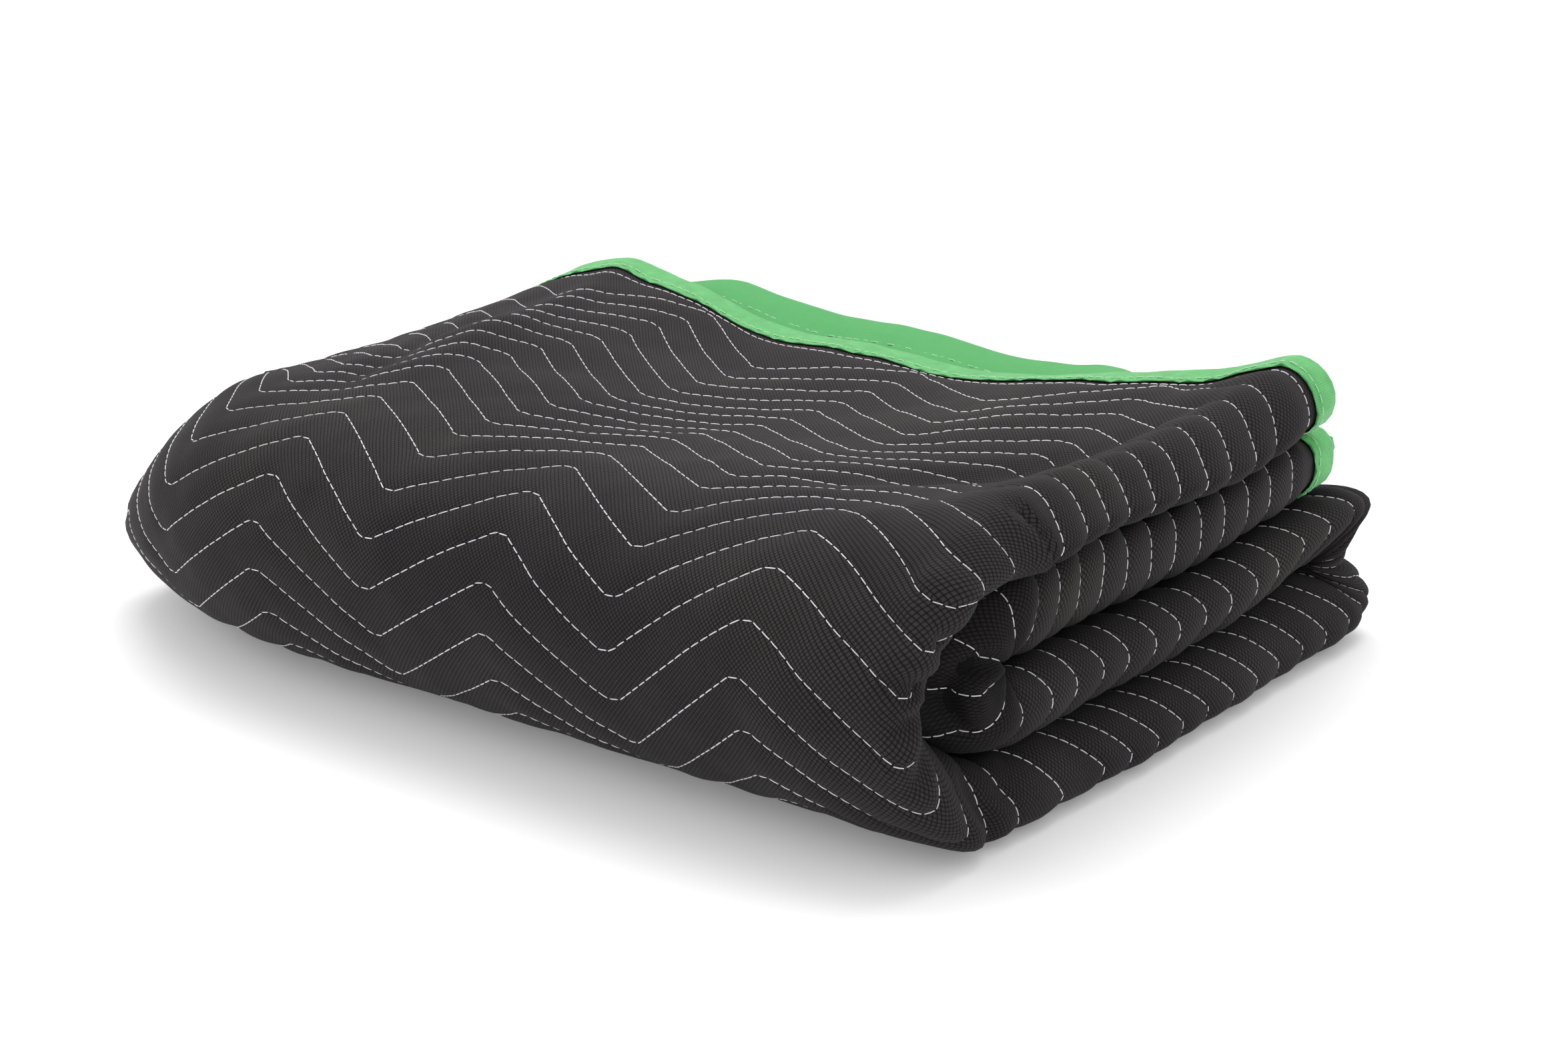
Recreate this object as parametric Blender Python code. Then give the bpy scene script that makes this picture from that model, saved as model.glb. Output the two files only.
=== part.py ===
"""A quilted moving pad, folded in half twice each way into a stack of sixteen plies.

The pad is one rectangle of quilted cloth with a tape bound round its four edges. Its width is folded in
half and in half again, which makes a strip of four plies, and the strip is then folded in half and in half
again along its length. Two folded lines describe this: the strip seen from its end, and the strip's route
through the stack seen from the side. Every point of the cloth is a place along each of them, and the whole
stack is then settled: it sinks to the left and in the middle, and its corners are soft.

X runs along the front fold, Y from the front fold to the open ends, Z up from the surface it lies on.
"""

import collections
import math

import bpy
import numpy as np

# Driving sizes, in metres.
PAD_LENGTH = 0.470  # along X
PAD_DEPTH = 0.357  # along Y, before the front fold fills out
PLY = 0.00864  # from one ply to the next in the stack
CLOTH = 0.0072  # thickness of the quilted cloth between its seams
BOUND_CLOTH = 0.0024  # thickness of the cloth where the tape grips it
TAPE_WIDTH = 0.0165
TAPE_WALL = 0.0011
TAPE_GAP = 0.0010  # between the tape and the cloth
TAPE_ROUNDING = 0.0006  # how much flatter the tape is at its fold
BESIDE_MITRE = 0.2  # how far the stations beside the tape's mitres slant
FADE = 0.016  # how far from the tape the cloth takes to reach its full thickness

# Quilting: rows of zigzag stitches that run across the width of the cloth. A place "across" is counted
# from the middle of the top ply towards the right fold, and then round that fold.
ROW = 0.0198  # from one row of stitches to the next
FRONT_ROW = 0.0223  # the same on the front fold
ZIGZAG_PERIOD = 0.1265
ZIGZAG_REACH = 0.0195  # half the height of the zigzag
ZIGZAG_TURN_X = 0.0985  # where a turn that points to the front lies on the top ply
ZIGZAG_TIP = 1.10  # how far the zigzag would run past its flattened tips
ROW_BOW = 0.45  # how many rows the seams bow back beside the right fold
BOW_ACROSS = (0.06, 0.17, 0.235)  # where the bow begins, is full and ends
BOW_ROWS = (2.0, 9.0)  # the rows where it begins and is full
TOP_SLOWING = 0.034  # how much later the zigzag turns on the top strip's right fold
TOP_SLOWING_ACROSS = (0.150, 0.260)
TOP_SLOWING_END = (12.0, 14.0)  # the rows where that fades out
BOTTOM_SLOWING = 0.006  # the same on the bottom strip's right fold
BOTTOM_SLOWING_ACROSS = (0.16, 0.22)
BOTTOM_FOLD_REACH = 0.8  # how much further the zigzag reaches on the bottom strip's right fold
QUILT_FADE = 0.035  # how far from the left fold the quilting takes to reach its full depth
SEAM_DEPTH = 0.0017  # how far the cloth dips at a row of stitches
PUFF = 0.0005  # how far it stands up between two rows
BACK_FOLD_SOFTENING = 0.7  # how much of the zigzag is lost round the back fold
BACK_FOLD_SOFT_ROWS = 2.5

# The free edges at the left lie a little inside the folds they are stacked with.
FREE_EDGE_INSET = 0.013

STACK_HEIGHT = 16 * PLY
FRONT_RADIUS = 6 * PLY
BACK_RADIUS = 2 * PLY
FRONT_CENTRE = -PAD_DEPTH / 2 + 8 * PLY
BACK_CENTRE = PAD_DEPTH / 2 - 4 * PLY
TOP_END = 0.1280
SECOND_END = 0.1500
RIGHT_CENTRE = PAD_LENGTH / 2 - 2 * PLY
LEFT_CENTRE = -PAD_LENGTH / 2 + PLY

# The strip seen from its end: a row for each straight ply or fold, from the bottom ply's free edge.
# Lengths are real ones; a positive turn bends to the left of the way along the line.
SECTION = [
    # name, straight length, fold radius, turn in half circles
    ("bottom_ply", RIGHT_CENTRE - LEFT_CENTRE - FREE_EDGE_INSET, 0.0, 0),
    ("right_fold", 0.0, 1.5 * PLY, 1),
    ("top_ply", RIGHT_CENTRE - LEFT_CENTRE, 0.0, 0),
    ("left_fold", 0.0, 0.5 * PLY, 1),
    ("third_ply", RIGHT_CENTRE - LEFT_CENTRE, 0.0, 0),
    ("inner_fold", 0.0, 0.5 * PLY, -1),
    ("fourth_ply", RIGHT_CENTRE - LEFT_CENTRE - FREE_EDGE_INSET, 0.0, 0),
]

# The strip's route through the stack, from the top strip's free end. Folds count their rows of stitches
# on a ply near the outside: 7.26 plies out at the front and 4 at the back and in the middle.
ROUTE = [
    # name, straight length, fold radius, turn in half circles, radius that its rows are counted on
    ("top_strip", TOP_END - FRONT_CENTRE, 0.0, 0, 0.0),
    ("front_fold", 0.0, FRONT_RADIUS, 1, 7.26 * PLY),
    ("bottom_strip", BACK_CENTRE - FRONT_CENTRE, 0.0, 0, 0.0),
    ("back_fold", 0.0, BACK_RADIUS, 1, 4 * PLY),
    ("third_strip", BACK_CENTRE - FRONT_CENTRE, 0.0, 0, 0.0),
    ("middle_fold", 0.0, BACK_RADIUS, -1, 4 * PLY),
    ("second_strip", SECOND_END - FRONT_CENTRE, 0.0, 0, 0.0),
]
FRONT_EVENING = 0.0255  # evens out the rows' spacing round the front fold
FRONT_LAG = 0.032  # how far the rows there hang back towards the top

# Height of the settled stack's top, every 60 mm from the left edge to the right one (columns) and every
# 60 mm from the front to the back (rows).
HEIGHT_X = (-0.240, 0.240)
HEIGHT_Y = (-0.130, 0.170)
TOP_HEIGHTS = [
    [0.084, 0.106, 0.115, 0.119, 0.119, 0.119, 0.122, 0.126, 0.137],
    [0.085, 0.104, 0.117, 0.120, 0.112, 0.115, 0.117, 0.118, 0.139],
    [0.083, 0.102, 0.119, 0.110, 0.103, 0.105, 0.109, 0.110, 0.137],
    [0.082, 0.102, 0.113, 0.102, 0.099, 0.101, 0.110, 0.112, 0.136],
    [0.082, 0.106, 0.110, 0.099, 0.101, 0.100, 0.110, 0.119, 0.141],
    [0.085, 0.112, 0.108, 0.100, 0.100, 0.096, 0.105, 0.123, 0.141],
]

# The settled stack. Each pair says where along one direction a move begins and where it is full.
RIGHT_PART = (0.10, 0.22)
FRONT_PART = (0.02, 0.16)
BACK_PART = (0.08, 0.17)

# The front fold is fuller than half a circle, and draws back at both ends.
FRONT_FULLNESS = 2.3  # 2 would be round, more is squarer
FRONT_STRETCH = 1.137
FRONT_LEAN = 0.012
LEFT_DRAW = 0.055
LEFT_TOP_DRAW = 0.045  # how much more its upper part draws back
LEFT_TOP_Z = (0.05, 0.14)
LEFT_DRAW_X = (-0.100, -0.235)
LEFT_DRAW_POWER = 2.2
FRONT_RIGHT_DRAW = 0.006
FRONT_RIGHT_X = (0.19, 0.24)
CORNER_DRAW = 0.026  # how far the near right corner of the top draws back
CORNER_X = (0.165, 0.225)
CORNER_Z = (0.075, 0.105)

# How far the right folds reach out, by their height in the even stack in plies.
STRIP_HEIGHTS = [0.0, 0.8, 2.0, 3.6, 4.4, 6.0, 7.6, 8.4, 10.0, 11.6, 12.4, 14.0, 15.5, 16.0]
STRIP_REACH = [
    0.006, 0.008, 0.005, -0.002, 0.001, 0.001, -0.002, -0.003, -0.004, -0.002, 0.004, 0.000, -0.005, -0.005,
]
LOW_BULGE = 0.006  # how far the top strip's right fold bulges low down
LOW_BULGE_Z = (12.8 * PLY, 0.9 * PLY)  # middle and half height
LOW_BULGE_END = (0.06, 0.14)  # where it ends towards the back
PINCH = 0.008  # how far the front fold's right edge is pinched in
PINCH_Z = (0.062, 0.034)  # middle and half height
PINCH_X = (0.19, 0.235)
PINCH_Y = (0.105, 0.15)
FOOT_DRAW = 0.005  # how far the bottom strip's right fold draws in at the front
FOOT_Z = (0.02, 0.05)
FOOT_Y = (0.03, 0.15)

# At the right the back fold parts into two rounded tips, and the lower folds rise towards the back.
NOTCH_DEPTH = 0.022
NOTCH_Z = (4.2 * PLY, 0.011)  # middle and half height
NOTCH_X = (0.17, 0.235)
FAR_TIP = 0.011  # how far the upper tip sticks out
FAR_TIP_Z = (6.6 * PLY, 1.3 * PLY)  # middle and half height
FAR_TIP_X = (0.18, 0.24)
FAR_LIFT = 0.007
FAR_LIFT_Z = (0.042, 0.022)  # middle and half height
FAR_LIFT_X = (0.15, 0.22)
FAR_LIFT_Y = (0.04, 0.15)
BACK_WAVE = 0.004
BACK_WAVE_LENGTH = 0.09

# The top strip's free end: how far back it lies, how much it skews along X, how much the top ply alone
# draws forward in its middle, and how much further out the ply below it lies there. The second strip's
# end skews and waves a little.
TOP_END_BACK = 0.012
TOP_END_SKEW = -0.050
TOP_PLY_DRAW = 0.012
TOP_PLY_DRAW_REACH = 0.15
THIRD_PLY_OUT = 0.022
SECOND_END_SKEW = -0.02
SECOND_END_WAVE = 0.010
SECOND_END_WAVES = 9.0  # radians for each metre across the cloth
END_FADE_ROWS = 11.0  # rows that the ends' shifts take to fade out

# Where the zigzag turns the other way and softens: on the right folds of the upper strips.
BENT_NEAR = 0.03
BENT_FAR = 0.07
SECOND_STRIP_FLATTENING = 0.7

# The middle of the settled stack's box, which becomes the origin.
MIDDLE_X = 0.00455
MIDDLE_Y = -0.00355

# A column of the cloth's faces: its kind is fold, top or plain. One that lies between two others has the
# distance to them, and is only on the outer face.
Column = collections.namedtuple("Column", "place kind beside", defaults=(0.0,))


def folded_line(start, heading, parts, place):
    """Points and right-hand normals at each place along a line of straight parts and round folds.

    parts holds (length, radius, turn) for each, and a place is a length along the line. The line runs on
    straight past both of its ends.
    """
    place = np.asarray(place, float)
    point = np.array(start, float)
    points = np.zeros(place.shape + (2,))
    normals = np.zeros(place.shape + (2,))
    begin = 0.0
    for index, (length, radius, turn) in enumerate(parts):
        span = length if turn == 0 else math.pi * radius
        low = -np.inf if index == 0 else begin
        high = np.inf if index == len(parts) - 1 else begin + span
        inside = (place >= low) & (place <= high)
        run = place[inside] - begin
        along = np.array([math.cos(heading), math.sin(heading)])
        right = np.array([along[1], -along[0]])
        if turn == 0:
            points[inside] = point + run[:, None] * along
            normals[inside] = right
            point = point + span * along
        else:
            angle = heading + turn * run / radius
            centre = point - turn * radius * right
            normals[inside] = np.stack([np.sin(angle), -np.cos(angle)], -1)
            points[inside] = centre + turn * radius * normals[inside]
            heading += turn * math.pi
            point = centre - turn * radius * right
        begin += span
    return points, normals


def section_line(place):
    """Where the cloth runs across the strip, as X and the distance from the strip's middle."""
    parts = [row[1:] for row in SECTION]
    return folded_line((LEFT_CENTRE + FREE_EDGE_INSET, -1.5 * PLY), 0.0, parts, place)


def route_line(place):
    """Where the strip's middle runs through the stack, as Y and Z."""
    parts = [row[1:4] for row in ROUTE]
    return folded_line((TOP_END, 14 * PLY), math.pi, parts, place)


def breaks_of(lengths):
    return np.concatenate([[0.0], np.cumsum(lengths)])


SECTION_BREAKS = breaks_of([row[1] if row[3] == 0 else math.pi * row[2] for row in SECTION])
ROUTE_BREAKS = breaks_of([row[1] if row[3] == 0 else math.pi * row[2] for row in ROUTE])
ROW_BREAKS = breaks_of([(row[1] if row[3] == 0 else math.pi * row[4]) / ROW for row in ROUTE])
CLOTH_WIDTH = SECTION_BREAKS[-1]
ROWS = ROW_BREAKS[-1]
RIGHT_FOLD_MIDDLE = (SECTION_BREAKS[1] + SECTION_BREAKS[2]) / 2
TOP_MIDDLE = SECTION_BREAKS[2] + RIGHT_CENTRE  # the place at the middle of the top ply
ZIGZAG_TURN = TOP_MIDDLE - ZIGZAG_TURN_X
LEVEL_Y = [-0.046, 0.017, 0.080]  # where the hidden faces of every strip have points
FOLD_CELLS = 8


def smooth(low, high, value):
    """0 at low, 1 at high and an S curve between them."""
    t = np.clip((value - low) / (high - low), 0.0, 1.0)
    return t * t * (3 - 2 * t)


def hump(middle, half_width, value):
    """1 at the middle, fading out a little beyond the half width."""
    return np.exp(-(((value - middle) / half_width) ** 2))


def route_place(row):
    """The length along the strip's route at a row of stitches, which need not be a whole one."""
    row = np.asarray(row, float)
    place = np.interp(row, ROW_BREAKS, ROUTE_BREAKS)
    turn = math.pi * np.clip((row - ROW_BREAKS[1]) / (ROW_BREAKS[2] - ROW_BREAKS[1]), 0, 1)
    lag = FRONT_EVENING * np.sin(2 * turn) + FRONT_LAG * np.sin(turn)
    place = place - lag * (ROUTE_BREAKS[2] - ROUTE_BREAKS[1])
    place = np.where(row < 0, row * ROW, place)
    return np.where(row > ROWS, ROUTE_BREAKS[-1] + (row - ROWS) * ROW, place)


def curve_weights(value, low, high, count):
    """Weights of evenly spaced table columns for a smooth curve through them."""
    t = np.clip((value - low) / (high - low), 0.0, 1.0) * (count - 1)
    cell = np.minimum(t.astype(int), count - 2)
    f = t - cell
    weights = np.zeros(f.shape + (count,))
    basis = (
        -0.5 * f + f**2 - 0.5 * f**3,
        1 - 2.5 * f**2 + 1.5 * f**3,
        0.5 * f + 2 * f**2 - 1.5 * f**3,
        -0.5 * f**2 + 0.5 * f**3,
    )
    for step, part in zip((-1, 0, 1, 2), basis):
        column = np.clip(cell + step, 0, count - 1)[..., None]
        held = np.take_along_axis(weights, column, -1)
        np.put_along_axis(weights, column, held + part[..., None], -1)
    return weights


def top_height(x, y):
    table = np.array(TOP_HEIGHTS)
    across = curve_weights(x, *HEIGHT_X, table.shape[1])
    along = curve_weights(y, *HEIGHT_Y, table.shape[0])
    return np.einsum("...i,ij,...j->...", along, table, across)


def fuller_front(y, z):
    """The front fold of the even stack made deeper and squarer, its upper half leaning out."""
    half = STACK_HEIGHT / 2
    out = np.maximum(FRONT_CENTRE - y, 0.0) / half
    level = z / half - 1
    squared = (np.abs(out) ** FRONT_FULLNESS + np.abs(level) ** FRONT_FULLNESS) ** (1 / FRONT_FULLNESS)
    grow = np.where(out > 0, np.hypot(out, level) / np.maximum(squared, 1e-9), 1.0)
    out, level = out * grow, level * grow
    y2 = np.where(out > 0, FRONT_CENTRE - FRONT_STRETCH * half * out - FRONT_LEAN * out * level, y)
    return y2, (level + 1) * half


def settle(points):
    """Moves points of the even stack to where the cloth lies: sunken, leaning and soft at its corners."""
    x, y, z = points[..., 0], points[..., 1], points[..., 2]
    right, front, back = smooth(*RIGHT_PART, x), smooth(*FRONT_PART, -y), smooth(*BACK_PART, y)
    # Along X, only the right side moves.
    x2 = x + right * np.interp(z / PLY, STRIP_HEIGHTS, STRIP_REACH)
    x2 = x2 + LOW_BULGE * hump(*LOW_BULGE_Z, z) * right * (1 - smooth(*LOW_BULGE_END, y))
    x2 = x2 - PINCH * hump(*PINCH_Z, z) * smooth(*PINCH_X, x) * smooth(*PINCH_Y, -y)
    x2 = x2 - FOOT_DRAW * (1 - smooth(*FOOT_Z, z)) * right * smooth(*FOOT_Y, -y)
    y2, z2 = fuller_front(y, z)
    z2 = np.maximum((z2 - (PLY - CLOTH) / 2) * top_height(x, y2) / STACK_HEIGHT, 0.0)
    # Along Y, the front draws back at its ends and corner, and the back parts into two tips.
    left = np.maximum((x - LEFT_DRAW_X[0]) / (LEFT_DRAW_X[1] - LEFT_DRAW_X[0]), 0.0) ** LEFT_DRAW_POWER
    draw = (LEFT_DRAW + LEFT_TOP_DRAW * smooth(*LEFT_TOP_Z, z)) * left
    draw = draw + FRONT_RIGHT_DRAW * smooth(*FRONT_RIGHT_X, x)
    draw = draw + CORNER_DRAW * smooth(*CORNER_X, x) * smooth(*CORNER_Z, z2)
    y2 = y2 + front * draw
    y2 = y2 - NOTCH_DEPTH * hump(*NOTCH_Z, z) * back * smooth(*NOTCH_X, x)
    y2 = y2 + FAR_TIP * hump(*FAR_TIP_Z, z) * back * smooth(*FAR_TIP_X, x)
    y2 = y2 + BACK_WAVE * back * np.sin(x / BACK_WAVE_LENGTH)
    z2 = z2 + FAR_LIFT * hump(*FAR_LIFT_Z, z) * smooth(*FAR_LIFT_X, x) * smooth(*FAR_LIFT_Y, y)
    return np.stack([x2 - MIDDLE_X, y2 - MIDDLE_Y, z2], -1)


def end_middle(x):
    """1 in the middle of the top strip's free end, falling to 0 towards its sides."""
    return np.cos(np.clip(x / TOP_PLY_DRAW_REACH, -1, 1) * math.pi / 2)


def end_shift(place, row, x):
    """How far along Y a ply's free end lies from the even one, fading out along its strip."""
    on_top = (place > SECTION_BREAKS[2]) & (place < SECTION_BREAKS[3])
    on_third = (place >= SECTION_BREAKS[3]) & (place < SECTION_BREAKS[5])
    moved = THIRD_PLY_OUT * on_third - TOP_PLY_DRAW * on_top
    top = TOP_END_BACK + TOP_END_SKEW * x + moved * end_middle(x)
    second = SECOND_END_WAVE * np.cos(place * SECOND_END_WAVES) + SECOND_END_SKEW * x
    first_fade = np.clip(1 - row / END_FADE_ROWS, 0, 1.2) ** 1.5
    last_fade = np.clip(1 - (ROWS - row) / END_FADE_ROWS, 0, 1.2) ** 1.5
    return top * first_fade + second * last_fade


def cloth_point(place, row, out):
    """The point at a place across the cloth and a row along it, out from the middle of its thickness."""
    place, row, out = np.broadcast_arrays(*(np.asarray(v, float) for v in (place, row, out)))
    section, outward = section_line(place)
    x = section[..., 0]
    section = section + out[..., None] * outward
    route, up = route_line(route_place(row))
    yz = route + section[..., 1:] * up
    return settle(np.stack([section[..., 0], yz[..., 0] + end_shift(place, row, x), yz[..., 1]], -1))


def half_thickness(place, row):
    """Half the cloth's thickness, thinner where the tape grips its edge."""
    edge = np.minimum.reduce([place, CLOTH_WIDTH - place, row * ROW, (ROWS - row) * ROW])
    full = smooth(TAPE_WIDTH, TAPE_WIDTH + FADE, edge)
    return (BOUND_CLOTH + (CLOTH - BOUND_CLOTH) * full) / 2


def wave(distance):
    """A zigzag's height at a distance from one of its low turns, from -1 to 1, with short flat tips."""
    height = 1 - 4 * np.abs((distance / ZIGZAG_PERIOD) % 1.0 - 0.5)
    return np.clip(height * ZIGZAG_TIP, -1, 1)


def on_rows(row, first, last, soft=1.0):
    """1 from one numbered break in the rows to another, soft at both."""
    begin, end = ROW_BREAKS[first], ROW_BREAKS[last]
    return smooth(begin - soft, begin + soft, row) * (1 - smooth(end - soft, end + soft, row))


def near_right_fold(place):
    return 1 - smooth(BENT_NEAR, BENT_FAR, np.abs(place - RIGHT_FOLD_MIDDLE))


def zigzag(place, row):
    """The zigzag's height at a place across the cloth. The upper strips' right folds show it turned."""
    across = TOP_MIDDLE - place
    later = TOP_SLOWING * smooth(*TOP_SLOWING_ACROSS, across) * (1 - smooth(*TOP_SLOWING_END, row))
    later = later + BOTTOM_SLOWING * smooth(*BOTTOM_SLOWING_ACROSS, across) * on_rows(row, 2, 7)
    flat = wave(place + later - ZIGZAG_TURN)
    flatter = 1 - SECOND_STRIP_FLATTENING * smooth(ROW_BREAKS[5], ROW_BREAKS[6], row)
    bent = -wave(place - RIGHT_FOLD_MIDDLE) * flatter
    return flat + (bent - flat) * near_right_fold(place) * smooth(ROW_BREAKS[3], ROW_BREAKS[4], row)


def stitched_row(place, row):
    """The row's real position at a place, once the zigzag and the bow have moved it."""
    across = TOP_MIDDLE - place
    spacing = ROW + (FRONT_ROW - ROW) * on_rows(row, 1, 2)
    spacing = spacing / (1 + BOTTOM_FOLD_REACH * near_right_fold(place) * on_rows(row, 2, 3))
    begin, full, end = BOW_ACROSS
    bow = ROW_BOW * smooth(begin, full, across) * (1 - smooth(full, end, across))
    bow = bow * smooth(*BOW_ROWS, row) * (1 - on_rows(row, 2, 7))
    ends = smooth(1.0, 2.5, row) * smooth(1.0, 2.5, ROWS - row)
    from_back_fold = (row - (ROW_BREAKS[3] + ROW_BREAKS[4]) / 2) / BACK_FOLD_SOFT_ROWS
    fade = ends * beside_left_fold(place) * (1 - BACK_FOLD_SOFTENING * np.exp(-(from_back_fold**2)))
    return row - (ZIGZAG_REACH / spacing * zigzag(place, row) + bow) * fade


def beside_left_fold(place):
    """1 over the quilted cloth, falling to 0 where it turns round the left fold."""
    return smooth(FREE_EDGE_INSET, QUILT_FADE, np.abs(place - SECTION_BREAKS[3]))


def columns_across():
    """The columns of the cloth's faces, in order across it.

    Every ply has its columns at the same X, so that the plies follow each other through the stack. Only
    the top ply's outer face has more between them, for its quilting.
    """
    right, top, left, third, inner, fourth = SECTION_BREAKS[1:7]
    half = ZIGZAG_PERIOD / 2
    edge = left - top - FREE_EDGE_INSET
    turns = (ZIGZAG_TURN - top) % half + half * np.arange(0, 8)
    from_right = [turn for turn in turns if turn < edge - TAPE_WIDTH - 2 * FADE + 0.005]
    from_right += [edge - TAPE_WIDTH - FADE, edge - TAPE_WIDTH, edge]
    columns = [Column(right - distance, "plain") for distance in from_right]
    columns += [Column(place, "fold") for place in np.linspace(right, top, 6)]
    columns += [Column(top + distance, "top") for distance in from_right]
    columns += [Column(place, "plain") for place in np.linspace(left, third, 4)]
    columns += [Column(inner - distance, "plain") for distance in from_right]
    columns += [Column(place, "plain") for place in np.linspace(inner, fourth, 4)]
    columns += [Column(fourth + distance, "plain") for distance in from_right]
    for low, high in zip([0.0] + from_right, from_right):
        if high - low > 0.6 * half:
            columns.append(Column(top + (low + high) / 2, "top", (high - low) / 2))
    return sorted(columns)


def row_steps():
    """Every half row along the cloth, with the two ends and the tape's two lines."""
    tape = TAPE_WIDTH / ROW
    marks = np.array([0.0, tape, ROWS - tape, ROWS])
    return np.sort(np.concatenate([marks, np.arange(1.5, ROWS - 1.25, 0.5)])).round(3)


def plain_steps():
    """Steps of the hidden faces: eight cells round each fold, and few, level with each other, between."""
    found = set()
    for index, (low, high) in enumerate(zip(ROW_BREAKS[:-1], ROW_BREAKS[1:])):
        if index % 2 == 1:
            found |= {round(row * 2) / 2 for row in np.linspace(low, high, FOLD_CELLS + 1)}
            continue
        for y in LEVEL_Y:
            away = TOP_END - y if index == 0 else y - FRONT_CENTRE
            row = low + (BACK_CENTRE - y if index == 4 else away) / ROW
            found.add(round(row * 2) / 2)
    return found


def is_near_end(step):
    return step < 2 or step > ROWS - 2


def is_plain_step(step):
    return is_near_end(step) or step in PLAIN_STEPS


def has_step(kind, step):
    if kind == "fold" or is_plain_step(step):
        return True
    return kind == "top" and (step <= ROW_BREAKS[2] + 1 or ROW_BREAKS[3] <= step <= ROW_BREAKS[4])


def relief(kind, step):
    """How far the quilting moves the cloth's outer face at a step, which is a whole or a half row."""
    inside = 1.5 < step < ROWS - 1.5
    if kind == "plain" or not inside or step % 0.5 != 0:
        return 0.0
    if kind == "top" and ROW_BREAKS[2] + 1 < step < ROW_BREAKS[3]:
        return 0.0
    return -SEAM_DEPTH if step % 1 == 0 else PUFF


def bridge(faces, first, second, flip=False):
    """Faces between two columns, each a dict of step: vertex, at the steps that both hold."""
    shared = sorted(set(first) & set(second))
    for low, high in zip(shared[:-1], shared[1:]):
        up = [first[s] for s in sorted(first) if low <= s <= high]
        down = [second[s] for s in sorted(second, reverse=True) if low <= s <= high]
        face = up + down
        faces.append(face if flip else face[::-1])


def mesh_object(name, points, faces, material, collection):
    mesh = bpy.data.meshes.new(name)
    mesh.from_pydata([tuple(p) for p in points], [], faces)
    mesh.validate()
    mesh.materials.append(material)
    mesh.shade_smooth()
    obj = bpy.data.objects.new(name, mesh)
    collection.objects.link(obj)
    return obj


PLAIN_STEPS = plain_steps()


def make_pad(material, collection):
    """The quilted cloth: an outer face with its quilting, a plain inner face, and rims that join them."""
    steps = row_steps()
    points, faces = [], []
    outer, inner = [], []
    for place, kind, beside in columns_across():
        for side in (1,) if beside else (1, -1):
            column_kind = kind if side == 1 else "plain"
            column = {}
            for step in steps:
                if not has_step(column_kind, step):
                    continue
                depth = relief(column_kind, step) * beside_left_fold(place)
                moved = stitched_row(place, step) if depth else step
                out = side * half_thickness(place, moved) + (depth if side == 1 else 0)
                column[step] = len(points)
                if beside and is_near_end(step):
                    ends = cloth_point([place - beside, place + beside], moved, out)
                    points.append(ends.mean(axis=0))
                else:
                    points.append(cloth_point(place, moved, out))
            (outer if side == 1 else inner).append((place, column))
    for (_, first), (_, second) in zip(outer[:-1], outer[1:]):
        bridge(faces, first, second)
    for (_, first), (_, second) in zip(inner[:-1], inner[1:]):
        bridge(faces, first, second, flip=True)
    for edge, flip in ((0, True), (-1, False)):
        bridge(faces, outer[edge][1], inner[edge][1], flip)
    for step, flip in ((steps[0], False), (steps[-1], True)):
        top = {place: column[step] for place, column in outer}
        under = {place: column[step] for place, column in inner}
        bridge(faces, top, under, flip)
    return mesh_object("pad", points, faces, material, collection)


def edge_route():
    """(place, row, inward place, inward row) round the cloth's four edges, mitred at its corners."""
    places = [column.place for column in columns_across() if not column.beside]
    places = [p for p in places if TAPE_WIDTH * 1.5 < p < CLOTH_WIDTH - TAPE_WIDTH * 1.5]
    rows = [s for s in row_steps() if 1.4 < s < ROWS - 1.4 and is_plain_step(s)]
    # Two more stations stand beside each end of the cloth's width, where its faces have a column too.
    low, high = (TAPE_WIDTH, BESIDE_MITRE), (CLOTH_WIDTH - TAPE_WIDTH, -BESIDE_MITRE)
    across = [low] + [(p, 0) for p in places] + [high]
    route = [(0.0, 0.0, 1, 1)] + [(p, 0.0, inward, 1) for p, inward in across]
    route += [(CLOTH_WIDTH, 0.0, -1, 1)] + [(CLOTH_WIDTH, r, -1, 0) for r in rows]
    route += [(CLOTH_WIDTH, ROWS, -1, -1)] + [(p, ROWS, inward, -1) for p, inward in reversed(across)]
    route += [(0.0, ROWS, 1, -1)] + [(0.0, r, 1, 0) for r in reversed(rows)]
    return route


def make_binding(material, collection):
    """The tape: a channel that wraps the cloth's edge, in one loop round the whole cloth."""
    inside = BOUND_CLOTH / 2 + TAPE_GAP
    outside = inside + TAPE_WALL
    nose = -TAPE_GAP - TAPE_WALL
    # How far in from the cloth's edge, and out from its middle, going round the channel's section.
    channel = [
        (TAPE_WIDTH, outside), (nose, outside - TAPE_ROUNDING),
        (nose, TAPE_ROUNDING - outside), (TAPE_WIDTH, -outside),
        (TAPE_WIDTH, -inside), (-TAPE_GAP, -inside), (-TAPE_GAP, inside), (TAPE_WIDTH, inside),
    ]
    points, faces = [], []
    route = edge_route()
    for place, row, inward_place, inward_row in route:
        for inward, out in channel:
            points.append(cloth_point(place + inward * inward_place, row + inward * inward_row / ROW, out))
    count = len(channel)
    for index in range(len(route)):
        after = (index + 1) % len(route)
        for corner in range(count):
            beside = (corner + 1) % count
            faces.append([index * count + corner, index * count + beside,
                          after * count + beside, after * count + corner])
    return mesh_object("binding", points, faces, material, collection)


def fabric(name, color, roughness):
    material = bpy.data.materials.new(name)
    material.use_nodes = True
    shader = material.node_tree.nodes["Principled BSDF"]
    shader.inputs["Base Color"].default_value = (*color, 1.0)
    shader.inputs["Roughness"].default_value = roughness
    shader.inputs["Metallic"].default_value = 0.0
    material.diffuse_color = (*color, 1.0)
    return material


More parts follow.
